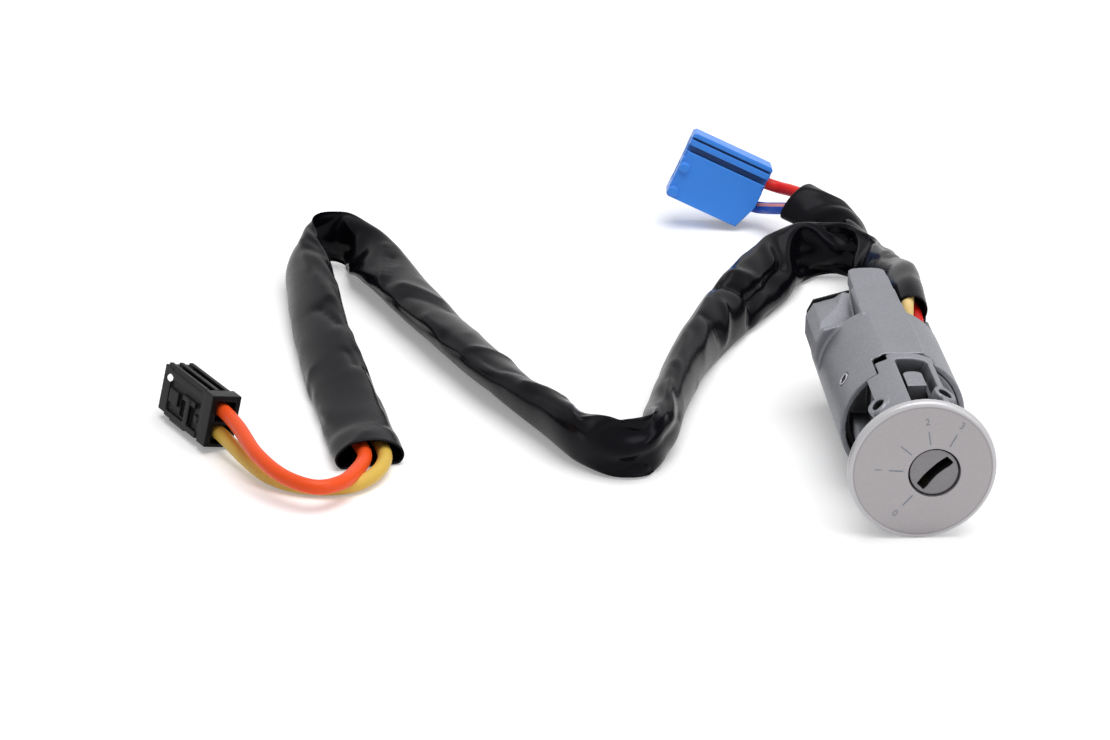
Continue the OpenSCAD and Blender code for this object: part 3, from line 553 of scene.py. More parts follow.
class Sleeve:
    """A soft flattened tube along a route, let go so that it buckles where it is bent.

    Each row of the route is a place, half of the flat's width, half of its thickness, and its roll in degrees:
    0 with the flat level, 90 with the flat on edge.
    """

    def __init__(self, keys, step, sides):
        rows, self.along = spline(keys, step / MM)
        self.line, self.half_w, self.half_h, self.roll = rows[:, :3], rows[:, 3], rows[:, 4], np.radians(rows[:, 5])
        self.ahead, self.side, self.up = axes_along(self.line)
        self.sides, self.step = sides, self.along[1] - self.along[0]
        self.angle = np.arange(sides) * 2 * math.pi / sides

    def rings(self, pinch, twisted):
        """Rings of points: flat ovals with pinched edges; twisted is the share of the roll that turns the skin too."""
        turn = self.angle[None, :] - ((1 - twisted) * self.roll)[:, None]
        c, s = np.cos(turn), np.sin(turn)
        high = np.sign(s) * np.abs(s) ** pinch
        roll = self.roll[:, None]
        wide = self.side * np.cos(roll) + self.up * np.sin(roll)
        thin = self.up * np.cos(roll) - self.side * np.sin(roll)
        skin = (self.line[:, None] + (self.half_w[:, None] * c)[..., None] * wide[:, None]
                + (self.half_h[:, None] * high)[..., None] * thin[:, None])
        skin[..., 2] = np.maximum(skin[..., 2], FLOOR_GAP)
        return skin

    def outwards(self, skin):
        """The direction out of the skin at each point."""
        out = np.cross(np.gradient(skin, axis=0), np.roll(skin, -1, 1) - np.roll(skin, 1, 1))
        out /= np.maximum(np.linalg.norm(out, axis=2), 1e-9)[..., None]
        return out if ((out * (skin - self.line[:, None])).sum(2)).mean() > 0 else -out

    def pull(self, skin, steps, turns, rest, share, only_short=False):
        """Moves pairs of points that are some steps and turns apart towards their distance at rest."""
        n = len(skin) - steps
        apart = np.roll(skin, -turns, 1)[steps:] - skin[:n]
        long = np.maximum(np.linalg.norm(apart, axis=2), 1e-6)
        push = 0.5 * share * (1 - rest / long)
        if only_short:
            push = np.minimum(push, 0)
        move = push[..., None] * apart
        skin[:n] += move
        back = np.zeros_like(skin)
        back[steps:] = -move
        skin += np.roll(back, turns, 1)

    def buckled(self, skin, rounds, stiff, core, lift, seed):
        """The skin after it has been let go: its lengths along, round and across come back, so the folds crease."""
        start = skin.copy()
        edge = np.linalg.norm(np.roll(skin, -1, 1) - skin, axis=2)
        wide = np.repeat(edge.mean(1, keepdims=True), self.sides, 1)
        chord = np.linalg.norm(np.roll(skin, -3, 1) - skin, axis=2)
        long = np.full((len(skin), 1), 0.985 * self.step)
        across = np.sqrt(long[:-1] ** 2 + wide[:-1] ** 2)
        rough = np.random.default_rng(seed).normal(size=(len(skin), self.sides))
        for _ in range(6):
            rough = (rough + np.roll(rough, 1, 0) + np.roll(rough, -1, 0)
                     + np.roll(rough, 1, 1) + np.roll(rough, -1, 1)) / 5
        skin = skin + (0.35 * rough / rough.std())[..., None] * self.outwards(skin)
        hold = np.ones(len(skin))
        for end in (self.along, self.along[-1] - self.along):
            hold *= np.clip(end / 9 - 0.3, 0, 1)
        for turn in range(rounds):
            self.pull(skin, 1, 0, long[:-1], 0.9)
            self.pull(skin, 0, 1, wide, 0.9)
            self.pull(skin, 1, 1, across, 0.7)
            self.pull(skin, 1, -1, across, 0.7)
            self.pull(skin, 3, 0, 3 * long[:-3], stiff, True)
            self.pull(skin, 7, 0, 7 * long[:-7], stiff, True)
            self.pull(skin, 0, 3, chord, 0.08)
            if turn % 5 == 0:
                skin += lift * self.outwards(skin)
            middle = skin.mean(1)
            skin += (0.12 * (self.line - middle))[:, None]
            spoke = skin - self.line[:, None]
            far = np.maximum(np.linalg.norm(spoke, axis=2), 1e-6)
            skin += (np.maximum(core - far, 0) / far)[..., None] * spoke
            skin[..., 2] = np.maximum(skin[..., 2], FLOOR_GAP)
            skin = start + hold[:, None, None] * (skin - start)
        for _ in range(3):
            even = (np.roll(skin, 1, 1) + np.roll(skin, -1, 1)) / 4
            even[1:-1] += (skin[2:] + skin[:-2]) / 4
            skin[1:-1] += 0.5 * (even - skin)[1:-1]
        return skin

    def creased(self, skin, creases):
        """The skin with single creases pressed in or drawn out."""
        girth = (self.half_w + self.half_h)[:, None] / 2
        s = np.broadcast_to(self.along[:, None], skin.shape[:2])
        across = girth * self.angle[None, :]
        depth = np.zeros(s.shape)
        for high, wide, points in creases:
            near = np.full(s.shape, np.inf)
            for (s0, a0), (s1, a1) in zip(points[:-1], points[1:]):
                for turn in (-2 * math.pi, 0, 2 * math.pi):
                    y0, y1 = girth * (math.radians(a0) + turn), girth * (math.radians(a1) + turn)
                    dx, dy = s1 - s0, y1 - y0
                    t = np.clip(((s - s0) * dx + (across - y0) * dy) / (dx * dx + dy * dy + 1e-9), 0, 1)
                    near = np.minimum(near, np.hypot(s - s0 - t * dx, across - y0 - t * dy))
            depth += high * np.exp(-1.4 * near / wide)
        return skin + depth[..., None] * self.outwards(skin)

    def mesh(self, name, skin, wall, deep):
        """The closed skin: the outside, and a pocket of some depth inside each open end."""
        inner = skin - wall * self.outwards(skin)
        n, sides = len(self.line), self.sides
        rings = max(3, int(deep / self.step))
        rim = np.arange(sides)
        after = (rim + 1) % sides
        points, faces = [skin.reshape(-1, 3)], [ring_faces(n, sides)]
        for mouth, order in ((0, list(range(rings))), (n - 1, list(range(n - 1, n - 1 - rings, -1)))):
            first = sum(len(p) for p in points)
            last, centre, back = first + (rings - 1) * sides, first + rings * sides, mouth == 0
            points += [inner[order].reshape(-1, 3), self.line[[order[-1]]]]
            lip = np.stack([mouth * sides + rim, mouth * sides + after, first + after, first + rim], 1)
            cap = np.stack([last + rim, last + after, np.full(sides, centre)], 1)
            pocket = ring_faces(rings, sides, first)
            faces += [f[:, ::-1] if back else f for f in (lip, cap, pocket)]
        mesh = mesh_from(name, np.concatenate(points) * MM, [f for block in faces for f in block])
        obj = temporary(name, mesh)
        rounder = obj.modifiers.new("Rounder", "SUBSURF")
        rounder.levels = rounder.render_levels = 1
        work = bmesh.new()
        work.from_mesh(mesh)
        bmesh.ops.recalc_face_normals(work, faces=work.faces)
        work.to_mesh(mesh)
        work.free()
        made = made_plain(obj)
        made.shade_smooth()
        return made


# Creases of the main sleeve, millimetres: height (less than 0 is pressed in), width, and the line they follow as
# distances along the sleeve with angles round it
MAIN_CREASES = [
    (1.3, 2.4, [(123, 63), (107, 72), (93, 40)]), (-1.5, 2.2, [(122, 84), (126, 198)]),
    (1, 1.8, [(128, 190), (111, 135)]),
    (-2.4, 2.8, [(174, 36), (167, 126), (140, 117)]), (1.4, 3, [(165, 50), (157, 110), (141, 96)]),
    (-1.8, 2.4, [(167, 126), (172, 165)]), (1.1, 2, [(184, 90), (192, 146)]), (-1, 2.4, [(198, 60), (196, 130)]),
    (1, 3, [(414, 27), (401, -27)]), (-0.8, 3, [(405, 40), (392, -20)]), (1, 3, [(388, 54), (360, 50), (352, -27)]),
    (-0.9, 3, [(372, 60), (340, 40), (334, -20)]), (0.9, 2.4, [(327, 48), (312, 8)]),
    (1.2, 1.8, [(306, 18), (294, 108), (288, 62)]), (-2, 4, [(299, 52), (296, 70)]),
    (0.8, 2.4, [(284, 136), (275, 108), (264, 98)]), (-1, 2.6, [(279, 150), (270, 125), (258, 118)]),
    (1, 1.5, [(468, 80), (466, -18)]), (1, 1.5, [(464, -16), (448, 88)]), (-1.4, 2.6, [(461, 70), (458, 10)]),
    (1.1, 1.8, [(444, -20), (424, 46)]), (-1, 2.2, [(436, -10), (418, 50)]),
    (1, 2.6, [(492, 279), (513, 279), (536, 306)]), (-1.3, 2.4, [(541, 276), (553, 306)]),
    (-0.9, 2, [(571, 306), (579, 308)]),
    (-1.3, 2.2, [(94, 45), (83, 126)]), (0.9, 2.4, [(78, 62), (58, 74)]), (-0.8, 2.2, [(70, 100), (52, 60)]),
]


def stray_creases(length):
    """Faint slanting creases spread over a sleeve, one after another round it."""
    rows = []
    for k in range(int(length / 17)):
        at, round_at, lean = 12 + 17 * k, 137.5 * k % 360, 40 if k % 3 else -55
        line = [(at, round_at), (at + 9 + 3 * (k % 3), round_at + lean)]
        rows.append(((0.45, -0.5, 0.35)[k % 3], 2.2 + 0.5 * (k % 4), line))
    return rows


def shape_tree(name, inputs):
    """A geometry nodes tree that takes and gives geometry, with inputs (name, kind, default)."""
    tree = bpy.data.node_groups.new(name, "GeometryNodeTree")
    for each in (("Geometry", "NodeSocketGeometry"), *inputs):
        socket(tree, *each)
    socket(tree, "Geometry", "NodeSocketGeometry", out=True)
    net = Net(tree)
    return tree, net, net.add("NodeGroupInput").outputs


def end_tree(net, geometry, finish):
    """Ends a geometry nodes tree with real geometry of one material."""
    real = net.add("GeometryNodeRealizeInstances", {"Geometry": geometry}).outputs[0]
    done = net.add("GeometryNodeSetMaterial", {"Geometry": real, "Material": finish}).outputs[0]
    net.join(done, net.add("NodeGroupOutput").inputs["Geometry"])


def wire_tree():
    """Geometry nodes: insulation swept along a curve, with its upper side kept for the finish."""
    tree, net, get = shape_tree("Insulated wire", [
        ("Radius", "NodeSocketFloat", 0.002), ("Sides", "NodeSocketInt", 24), ("Insulation", "NodeSocketMaterial")])
    sockets = {"Resolution": get["Sides"], "Radius": get["Radius"]}
    circle = net.add("GeometryNodeCurvePrimitiveCircle", sockets).outputs[0]
    turn = net.math("SUBTRACT", net.add("GeometryNodeSplineParameter").outputs["Factor"], 0.88)
    upper = net.math("COSINE", net.math("MULTIPLY", turn, 2 * math.pi))
    profile = net.add("GeometryNodeStoreNamedAttribute", {"Geometry": circle, "Name": "upper", "Value": upper},
                      data_type="FLOAT", domain="POINT").outputs[0]
    sockets = {"Curve": get["Geometry"], "Profile Curve": profile, "Fill Caps": True}
    tube = net.add("GeometryNodeCurveToMesh", sockets).outputs[0]
    smooth = net.add("GeometryNodeSetShadeSmooth", {"Geometry": tube, "Shade Smooth": True}).outputs[0]
    end_tree(net, smooth, get["Insulation"])
    return tree


def set_input(modifier, name, value):
    """Sets a geometry nodes modifier's input by its socket's identifier."""
    for item in modifier.node_group.interface.items_tree:
        if item.item_type == "SOCKET" and item.in_out == "INPUT" and item.name == name:
            modifier[item.identifier] = value
            return
    raise RuntimeError("no input named " + name)


def swept(name, line, radius, finish, tree):
    """A wire's mesh along a line of points in metres."""
    curve = bpy.data.curves.new(name + "_line", "CURVE")
    curve.dimensions = "3D"
    path = curve.splines.new("POLY")
    path.points.add(len(line) - 1)
    for point, p in zip(path.points, line):
        point.co = (*p, 1)
    obj = temporary(name + "_sweep", curve)
    modifier = obj.modifiers.new("Wire", "NODES")
    modifier.node_group = tree
    set_input(modifier, "Radius", radius)
    set_input(modifier, "Insulation", material(finish))
    mesh = made_plain(obj)
    mesh.name = name
    return mesh


# Operators


class IGNITION_OT_stage(bpy.types.Operator):
    """Builds the camera, the floor and the light"""

    bl_idname = "ignition.stage"
    bl_label = "Stage"

    def execute(self, context):
        scene, settings = context.scene, context.scene.lock_stage
        scene.view_settings.view_transform = "Standard"
        data = bpy.data.cameras.new("photo_camera")
        data.lens, data.sensor_width, data.clip_start, data.clip_end = settings.lens, 36, 0.01, 50
        camera = bpy.data.objects.new("photo_camera", data)
        camera.matrix_world = Matrix.Translation(CAMERA_AT) @ Matrix(CAMERA_AXES).transposed().to_4x4()
        scene.collection.objects.link(camera)
        scene.camera = camera
        self.floor(scene, settings)
        self.lamp(scene, "key_lamp", (0.15, 0.0, 1.25), (-0.06, 0.05, 0), 1.3, settings.key_power)
        self.lamp(scene, "fill_lamp", (1.0, -0.7, 0.7), (0, 0, 0.02), 0.7, settings.fill_power)
        world = bpy.data.worlds.new("surround")
        world.use_nodes = True
        net = Net(world.node_tree)
        background = net.tree.nodes["Background"]
        background.inputs["Color"].default_value = (1, 1, 1, 1)
        net.join(net.ramp(self.seen(net), 0.0, 1.0, settings.world_level, 1.0), background.inputs["Strength"])
        scene.world = world
        return {"FINISHED"}

    def seen(self, net):
        """1 for rays from the camera, and from gloss and glass, else 0."""
        ray = net.add("ShaderNodeLightPath").outputs
        bent = net.math("MAXIMUM", ray["Is Glossy Ray"], ray["Is Transmission Ray"])
        return net.math("MAXIMUM", ray["Is Camera Ray"], bent)

    def floor(self, scene, settings):
        reach = 4.0
        corners = [(-reach, -reach, 0), (reach, -reach, 0), (reach, reach, 0), (-reach, reach, 0)]
        mesh = mesh_from("floor", corners, [(0, 1, 2, 3)])
        obj = bpy.data.objects.new("floor", mesh)
        scene.collection.objects.link(obj)
        paper = bpy.data.materials.new("floor_paper")
        paper.use_nodes = True
        net = Net(paper.node_tree)
        surface = net.tree.nodes["Principled BSDF"]
        surface.inputs["Base Color"].default_value = (*settings.floor_color, 1)
        surface.inputs["Emission Color"].default_value = (1, 1, 1, 1)
        net.join(net.ramp(self.seen(net), 0.0, 1.0, 0.0, settings.floor_glow), surface.inputs["Emission Strength"])
        surface.inputs["Roughness"].default_value = 0.9
        surface.inputs["Specular IOR Level"].default_value = 0.1
        mesh.materials.append(paper)

    def lamp(self, scene, name, at, aim, size, power):
        data = bpy.data.lights.new(name, "AREA")
        data.shape, data.size, data.energy = "DISK", size, power
        obj = bpy.data.objects.new(name, data)
        obj.location = at
        obj.rotation_euler = (Vector(aim) - Vector(at)).to_track_quat("-Z", "Y").to_euler()
        scene.collection.objects.link(obj)


class IGNITION_OT_sleeving(bpy.types.Operator):
    """Builds the two black sleeves of the harness"""

    bl_idname = "ignition.sleeving"
    bl_label = "Sleeving"

    # The flat's pinch and the share of its roll that turns the skin; the skin's stiffness and puff as it buckles
    FLAT = {"pinch": 1.12, "twisted": 0.5}
    SKIN = {"stiff": 0.3, "lift": 0.02}
    BRANCH_CREASES = [(0.8, 1.6, [(2, 100), (14, 150)]), (-0.7, 2, [(9, 60), (20, 140)])]

    def execute(self, context):
        harness = context.scene.lock_harness
        wall = harness.sleeve_wall / MM
        main = Sleeve(MAIN_SKIN, harness.sleeve_step, harness.sleeve_sides)
        skin = main.buckled(main.rings(**self.FLAT), rounds=220, core=3.0, seed=7, **self.SKIN)
        skin = main.creased(skin, MAIN_CREASES + stray_creases(main.along[-1]))
        mesh = main.mesh("sleeve_main_skin", skin, wall, deep=26)
        obj = place("main_sleeve", mesh, "black_sleeving", nodes=["sleeve_main"])
        branch = Sleeve(BRANCH_SKIN, harness.sleeve_step, harness.sleeve_sides)
        skin = branch.buckled(branch.rings(**self.FLAT), rounds=60, core=2.5, seed=3, **self.SKIN)
        skin = branch.creased(skin, self.BRANCH_CREASES + stray_creases(length=30))
        mesh = branch.mesh("sleeve_branch_skin", skin, wall, deep=14)
        place("branch_sleeve", mesh, "black_sleeving", nodes=["sleeve_branch"])
        return {"FINISHED"}


class IGNITION_OT_wires(bpy.types.Operator):
    """Builds the wires between the sleeves, the connectors and the lock"""

    bl_idname = "ignition.wires"
    bl_label = "Wires"

    FINISHES = {"wire_red": "red_insulation", "wire_blue": "blue_insulation", "wire_orange": "orange_insulation",
                "wire_yellow": "yellow_insulation", "tail_cream": "cream_insulation", "tail_red": "red_insulation"}

    def execute(self, context):
        harness, tree = context.scene.lock_harness, wire_tree()
        for node, finish in self.FINISHES.items():
            thick = harness.tail_d if node.startswith("tail") else harness.wire_d
            line, along = spline(WIRE_ROUTES[node], WIRE_STEP)
            line = line * MM
            obj = place(node + "_insulation", swept(node, line, thick / 2, finish, tree), finish, nodes=[node])
            self.declare(node, obj, line, float(along[-1]) * MM, thick)
        return {"FINISHED"}

    def declare(self, node, obj, line, length, thick):
        """Does nothing."""


class IGNITION_OT_castings(bpy.types.Operator):
    """Builds the die castings of the lock with their rounded edges"""

    bl_idname = "ignition.castings"
    bl_label = "Castings"

    # Angles round the lock's axis, degrees: the notch behind the lip, the two bosses, and the line along the lip
    NOTCH, LEFT_BOSS, RIGHT_BOSS = 111, 127, 64
    LIP = range(65, 106, 4)
    # Slope of the trough beside the tongue
    SLOPE = Matrix(((1, 0, 0, 0), (0, 1, 0, 0), (-0.25, 0.369, 1, -0.01891), (0, 0, 0, 1)))
    # Edge of the plate behind the rear block, millimetres, and where the plate starts and ends
    PLATE = [(-6.4, 15), (-16.6, 12.3), (-18.2, 9), (-18.2, 2.6), (-14, -8), (-6.4, -8)]
    PLATE_ENDS = (86.1, 87.2)
    # How far the bolt stands out of the housing, metres
    BOLT_PROUD = 0.0004

    def spoke(self, angle):
        """A frame on the lock's axis at the face: X outwards at an angle, Y into the lock."""
        return Matrix.Translation(Vector(FACE_MIDDLE) * MM) @ Matrix.Rotation(math.radians(-angle), 4, "Y")

    def execute(self, context):
        cell, fine = context.scene.lock_castings.casting_cell, context.scene.lock_castings.fine_cell
        lip = [solid_of("lip_line", [((13.5, 37.1, -1.3), (18.5, 38, 1.3))], [], self.spoke(a)) for a in self.LIP]
        self.housing(cell, lip)
        self.carrier(cell * 0.75, lip)
        place("catch_casting", softened("retainer_catch", fine, 5, 0.5), "zinc_casting", "catch", ["retainer_catch"])
        self.switch_shell(fine * 1.6)
        self.catch_coil()
        bolt = softened("lock_bolt", fine * 1.4, 4, 0.5)
        bolt.transform(Matrix.Translation((self.BOLT_PROUD, 0, 0)))
        place("bolt_casting", bolt, "spring_steel", "bolt", ["lock_bolt"])
        place("roll_pin", softened("side_roll_pin", fine * 0.7, 4, 0.4), "spring_steel", nodes=["side_roll_pin"])
        return {"FINISHED"}

    def housing(self, cell, lip):
        """The housing, with the notch behind the lip and the trough beside the tongue."""
        cave = solid_of("lip_cave", [((10, 37, -1.7), (16.1, 43, 1.7))], [], self.spoke(self.NOTCH))
        trough = solid_of("trough", [((-17.5, 68.2, 0), (-6.3, 90, 9))], [], self.spoke(0) @ self.SLOPE)
        cuts = joined("housing_cuts", [cave, trough, *lip])
        mesh = moulded("housing_casting", merged("lock_housing"), cuts, cell, 4, 0.2)
        place("housing_casting", mesh, "zinc_casting", nodes=["lock_housing"])

    def carrier(self, cell, lip):
        """The front section, with its ringed bosses, its recess and room for the catch."""
        notch, left, right = (self.spoke(angle) for angle in (self.NOTCH, self.LEFT_BOSS, self.RIGHT_BOSS))
        cuts = joined("carrier_cuts", [
            *lip,
            solid_of("lip_gap", [((9, 34.6, -1.7), (18, 43, 1.7))], [], notch),
            solid_of("left_hole", [], [((11, 12.2, 0), (19, 10.9, 0), 1.75)], left),
            solid_of("right_hole", [], [((10, 15.2, 0), (19, 13.7, 0), 1.85)], right),
            solid_of("catch_room", [((-2.15, 17.2, 7.9), (3.75, 27.7, 18))], [], self.spoke(0)),
            solid_of("recess", [((-16, 26, 1.5), (-9.2, 33.2, 10.6))], [], self.spoke(0)),
        ])
        mesh = joined("carrier_solids", [
            merged("barrel_carrier"),
            solid_of("left_boss", [], [((9, 12.3, 0), (17.2, 11.2, 0), 3.1)], left),
            solid_of("right_boss", [], [((10, 14.8, 0), (16.9, 14, 0), 3.1)], right),
        ])
        mesh = moulded("carrier_casting", mesh, cuts, cell, 3, 0.25)
        place("carrier_casting", mesh, "zinc_casting", nodes=["barrel_carrier"])

    def switch_shell(self, cell):
        """The switch's black housing, with the plate whose edge shows behind the rear block."""
        plate = prism("plate", self.PLATE, *self.PLATE_ENDS, self.spoke(0))
        trim = solid_of("trim", [((13.8, 60, 0), (30, 85.8, 20))], [], self.spoke(0))
        mesh = joined("switch_solids", [merged("switch_housing"), plate])
        mesh = moulded("switch_shell", mesh, trim, cell, 3, 0.3)
        place("switch_shell", mesh, "black_plastic", nodes=["switch_housing"])

    def catch_coil(self):
        """The spring under the catch, a coil as tall as the spring's solid."""
        low, high = (Vector(corner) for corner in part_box("catch_spring"))
        tall, middle = high.z - low.z, (low + high) / 2
        wire, radius, turns = 0.00025, 0.001, 5
        turn = np.linspace(0, 2 * math.pi * turns, 40 * turns)
        rise = np.interp(turn / turn[-1], [0, 0.16, 0.84, 1], [wire, 3 * wire, tall - 3 * wire, tall - wire])
        line = np.stack([middle.x + radius * np.cos(turn), middle.y + radius * np.sin(turn), low.z + rise], 1)
        mesh = swept("catch_coil", line, wire, "spring_steel", wire_tree())
        coil = place("catch_coil", mesh, "spring_steel", nodes=["catch_spring"])
        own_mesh(coil)


class IGNITION_OT_face(bpy.types.Operator):
    """Builds the painted face and the key plug"""

    bl_idname = "ignition.face"
    bl_label = "Face and plug"

    # The curved key slot across the plug, millimetres: places along it, half a step's length, half its width, its
    # depth, and how high and how bowed its middle line is
    SLOT_PLACES = [0.3 * k for k in range(-15, 16)]
    SLOT_REACH, SLOT_HALF, SLOT_DEEP, SLOT_RISE, SLOT_BOW = 0.7, 1.2, 16, 0.12, 0.026

    def slot(self):
        """Boxes that make up the key slot."""
        for x in self.SLOT_PLACES:
            z = self.SLOT_RISE - self.SLOT_BOW * x**2
            low, high = z - self.SLOT_HALF, z + self.SLOT_HALF
            yield (x - self.SLOT_REACH, -1, low), (x + self.SLOT_REACH, self.SLOT_DEEP, high)

    def execute(self, context):
        fine = context.scene.lock_castings.fine_cell
        place("painted_face", softened("face_cap", fine * 1.2, 4, 0.25), "face_paint", nodes=["face_cap"])
        at_plug = Matrix.Translation(Vector(PLUG_MIDDLE) * MM) @ Matrix.Rotation(math.radians(-KEY_LEAN), 4, "Y")
        slot = solid_of("slot", self.slot(), [], at_plug)
        mesh = moulded("plug_barrel", merged("key_plug"), slot, fine * 1.2, 3, 0.25)
        place("plug_barrel", mesh, "plug_metal", "rotor", ["key_plug"])
        return {"FINISHED"}


class IGNITION_OT_marks(bpy.types.Operator):
    """Prints the dial marks on the painted face"""

    bl_idname = "ignition.marks"
    bl_label = "Dial marks"

    # Angles of the marks, degrees
    TICKS = (229, 175, 139.5, 100, 64)
    DIGITS = {"0": 229, "1": 175, "2": 100, "3": 64}
    # Distances from the plug's middle, millimetres, and sizes, metres
    TICKS_OUT, DIGITS_OUT = 9.9, 14.4
    TICK_LENGTH, TICK_WIDTH, DIGIT_HEIGHT, INK = 0.0037, 0.00032, 0.0026, 0.00008

    def on_face(self, angle, radius):
        """A place on the face, millimetres, from the plug's middle."""
        turn = math.radians(angle)
        return Vector(PLUG_MIDDLE) + radius * Vector((math.cos(turn), 0, math.sin(turn)))

    def execute(self, context):
        points = bpy.data.meshes.new("tick_places")
        points.from_pydata([self.on_face(a, self.TICKS_OUT) * MM for a in self.TICKS], [], [])
        turn = points.attributes.new("turn", "FLOAT", "POINT")
        turn.data.foreach_set("value", [math.radians(a) for a in self.TICKS])
        obj = temporary("ticks", points)
        modifier = obj.modifiers.new("Ticks", "NODES")
        modifier.node_group = self.tick_tree()
        set_input(modifier, "Length", self.TICK_LENGTH)
        set_input(modifier, "Width", self.TICK_WIDTH)
        set_input(modifier, "Ink", material("mark_ink"))
        place("dial_ticks", made_plain(obj), "mark_ink")
        mesh = joined("digits", [self.digit(text, angle) for text, angle in self.DIGITS.items()])
        place("dial_digits", mesh, "mark_ink")
        return {"FINISHED"}

    def tick_tree(self):
        """Geometry nodes: a thin bar on each point, turned as the point says."""
        tree, net, get = shape_tree("Dial ticks", [
            ("Length", "NodeSocketFloat", self.TICK_LENGTH), ("Width", "NodeSocketFloat", self.TICK_WIDTH),
            ("Ink", "NodeSocketMaterial")])
        size = net.add("ShaderNodeCombineXYZ", {0: get["Length"], 1: self.INK, 2: get["Width"]}).outputs[0]
        bar = net.add("GeometryNodeMeshCube", {"Size": size}).outputs[0]
        turn = net.add("GeometryNodeInputNamedAttribute", {"Name": "turn"}, data_type="FLOAT").outputs[0]
        about = net.add("ShaderNodeCombineXYZ", {1: net.math("MULTIPLY", turn, -1.0)}).outputs[0]
        sockets = {"Points": get["Geometry"], "Instance": bar, "Rotation": about}
        many = net.add("GeometryNodeInstanceOnPoints", sockets).outputs[0]
        end_tree(net, many, get["Ink"])
        return tree

    def digit(self, text, angle):
        """The mesh of one digit, its foot towards the plug."""
        curve = bpy.data.curves.new("digit", "FONT")
        curve.body, curve.size, curve.extrude = text, self.DIGIT_HEIGHT, self.INK / 2
        curve.align_x = curve.align_y = "CENTER"
        mesh = made_plain(temporary("digit", curve))
        foot = Matrix.Translation(self.on_face(angle, self.DIGITS_OUT) * MM)
        stand = foot @ Matrix.Rotation(math.radians(90 - angle), 4, "Y")
        mesh.transform(stand @ Matrix.Rotation(math.pi / 2, 4, "X"))
        return mesh


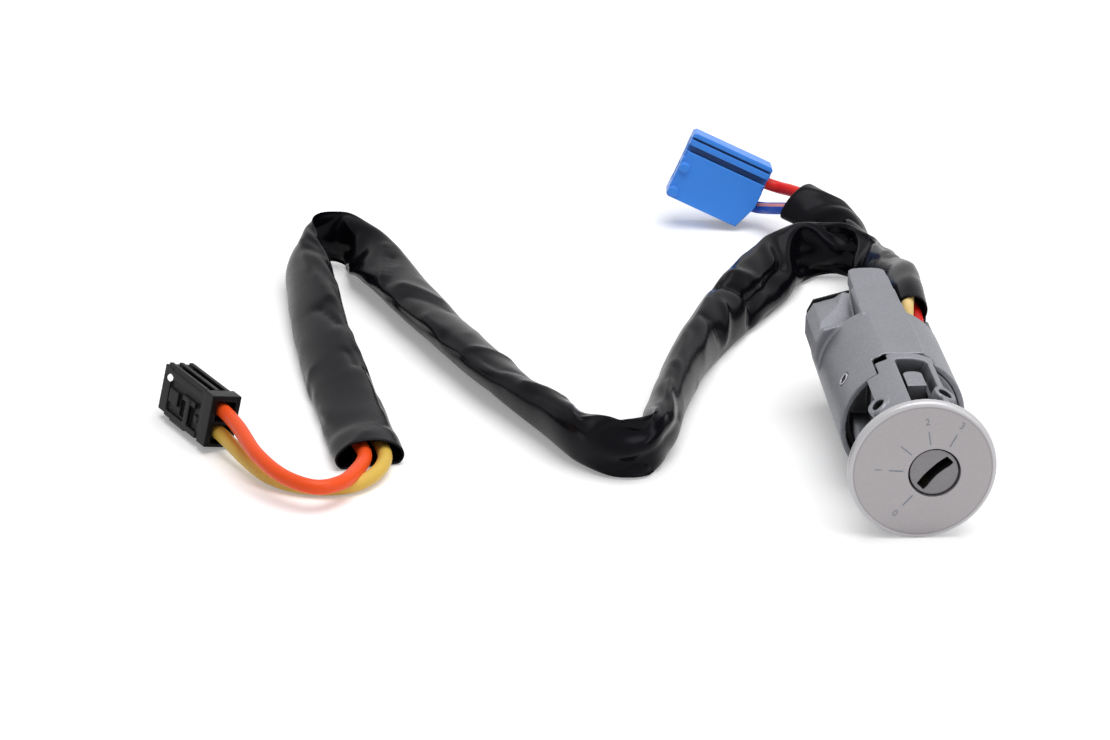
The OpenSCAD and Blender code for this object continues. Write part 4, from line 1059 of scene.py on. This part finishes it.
class IGNITION_OT_connectors(bpy.types.Operator):
    """Builds the blue and the black connector"""

    bl_idname = "ignition.connectors"
    bl_label = "Connectors"

    # How the connectors lie: place, millimetres, and turns, degrees
    BLACK_AT, BLACK_TURNS = (-182.3, 9.2, 1.1629), ((120, "Z"), (15, "X"))
    BLUE_AT, BLUE_TURNS = (-46.3, 177.1, 11.7), ((-9, "Z"), (24, "Y"), (-10, "X"))
    # Move, metres, and stretch of the blue connector
    BLUE_MOVE, BLUE_STRETCH = (0.0006, 0, 0.0007), (1.067, 1, 0.94, 1)
    # Boxes, two corners each, and pegs, millimetres
    BLACK_SOLIDS = [
        ((3, -3.3, 0.8), (30, 3.3, 12.4)), ((0, -4.3, 0.1), (5, 4.5, 14.9)), ((4.6, -3.9, 0.3), (7, 3.9, 13.9)),
        ((6, -3.7, 11.8), (29, -2.4, 14.6)), ((6, -0.7, 11.8), (29, 0.7, 14.6)), ((6, 2.4, 11.8), (29, 3.7, 14.6)),
        ((26, -3.8, 0.5), (30.5, 3.9, 13.6)), ((12.2, 3, 1.6), (14.6, 4.4, 9.2)), ((9.4, 3, 7.8), (17.2, 4.2, 9.4)),
        ((6.6, 3, 0.2), (26, 4.3, 2)), ((14, 2.6, -0.5), (23, 3.9, 1.2)), ((7.2, 3, 4.2), (9.4, 4.1, 6.2)),
        ((19.6, 3, 4.6), (25, 4.2, 8.6)), ((6.4, 3, 11.4), (28, 3.9, 13.2)), ((8, -4.1, 1.5), (25, -3, 3.2)),
        ((8, -4.1, 9.8), (25, -3, 11.4)), ((15, -4.1, 2), (17.4, -3, 11)),
    ]
    BLACK_CUTS = [
        ((-1, -2.8, 1.2), (3, 2.8, 6.5)), ((-1, -2.8, 7.7), (3, 2.8, 13.2)), ((24, -2.2, 1.8), (31, 2.2, 6.4)),
        ((24, -2.2, 7.8), (31, 2.2, 12.2)), ((15.2, 2.6, 2.6), (18.8, 3.7, 7.2)),
    ]
    BLACK_HOLE = [((24.7, 5.7, 11.4), (31.6, 0.4, 9.1), 1.1)]
    BLUE_RAIL = [((0.6, 0, 14), (26.4, 3.4, 23.6))]
    BLUE_EARS = [((1.8, 1, z), (1.8, -1.3, z), 1.6) for z in (2.4, 11.6)]
    BLUE_CUTS = [((-1, -2, 17.5), (28, 2.4, 19.7)), ((-1, -2, 21.9), (28, 1.1, 22.7))]

    def lying(self, at, turns):
        """The frame of a connector as it lies."""
        frame_at = Matrix.Translation(Vector(at) * MM)
        for angle, axis in turns:
            frame_at = frame_at @ Matrix.Rotation(math.radians(angle), 4, axis)
        return frame_at

    def execute(self, context):
        cell = context.scene.lock_castings.fine_cell
        at_black, at_blue = self.lying(self.BLACK_AT, self.BLACK_TURNS), self.lying(self.BLUE_AT, self.BLUE_TURNS)
        body = solid_of("black_solids", self.BLACK_SOLIDS, [], at_black)
        cuts = solid_of("black_cuts", self.BLACK_CUTS, self.BLACK_HOLE, at_black)
        mesh = moulded("black_shell", body, cuts, cell, 7, 0.3)
        place("black_shell", mesh, "black_plastic", nodes=["black_connector"])
        ears = solid_of("blue_ears", self.BLUE_RAIL, self.BLUE_EARS, at_blue)
        body = joined("blue_solids", [merged("blue_connector"), ears])
        cuts = solid_of("blue_cuts", self.BLUE_CUTS, [], at_blue)
        shell = moulded("blue_shell", body, cuts, cell * 1.2, 5, 0.3)
        drawn = Matrix.Translation(self.BLUE_MOVE) @ Matrix.Diagonal(self.BLUE_STRETCH)
        shell.transform(at_blue @ drawn @ at_blue.inverted())
        place("blue_shell", shell, "blue_plastic", nodes=["blue_connector"])
        return {"FINISHED"}


class IGNITION_OT_finishes(bpy.types.Operator):
    """Gives each solid that is shown as it is the finish of its material slot"""

    bl_idname = "ignition.finishes"
    bl_label = "Finishes of the solids"

    def execute(self, context):
        for row in frame["record"]["subparts"]:
            obj = NODES[row["node"]]
            obj.data.materials.clear()
            obj.data.materials.append(material(row["material_slot"]))
        return {"FINISHED"}


class IGNITION_PT_panel(bpy.types.Panel):
    """Lists the steps that build the lock"""

    bl_label = "Ignition lock"
    bl_idname = "IGNITION_PT_panel"
    bl_space_type = "VIEW_3D"
    bl_region_type = "UI"
    bl_category = "Ignition lock"

    def draw(self, context):
        for step in STEPS:
            self.layout.operator(step.bl_idname)
        for group in ("lock_stage", "lock_castings", "lock_harness"):
            settings = getattr(context.scene, group)
            box = self.layout.box()
            for name in type(settings).__annotations__:
                box.prop(settings, name)


STEPS = (IGNITION_OT_stage, IGNITION_OT_sleeving, IGNITION_OT_connectors, IGNITION_OT_wires, IGNITION_OT_castings,
         IGNITION_OT_face, IGNITION_OT_marks, IGNITION_OT_finishes)
SETTINGS = {"lock_stage": StageSettings, "lock_castings": CastingSettings, "lock_harness": HarnessSettings}


def register():
    for kind in (*SETTINGS.values(), *STEPS, IGNITION_PT_panel):
        bpy.utils.register_class(kind)
    for name, kind in SETTINGS.items():
        setattr(bpy.types.Scene, name, PointerProperty(type=kind))


def unregister():
    for name in SETTINGS:
        delattr(bpy.types.Scene, name)
    for kind in (IGNITION_PT_panel, *reversed(STEPS), *SETTINGS.values()):
        bpy.utils.unregister_class(kind)


def main():
    register()
    for step in STEPS:
        group, name = step.bl_idname.split(".")
        getattr(getattr(bpy.ops, group), name)()
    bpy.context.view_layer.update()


if __name__ == "__main__":
    main()
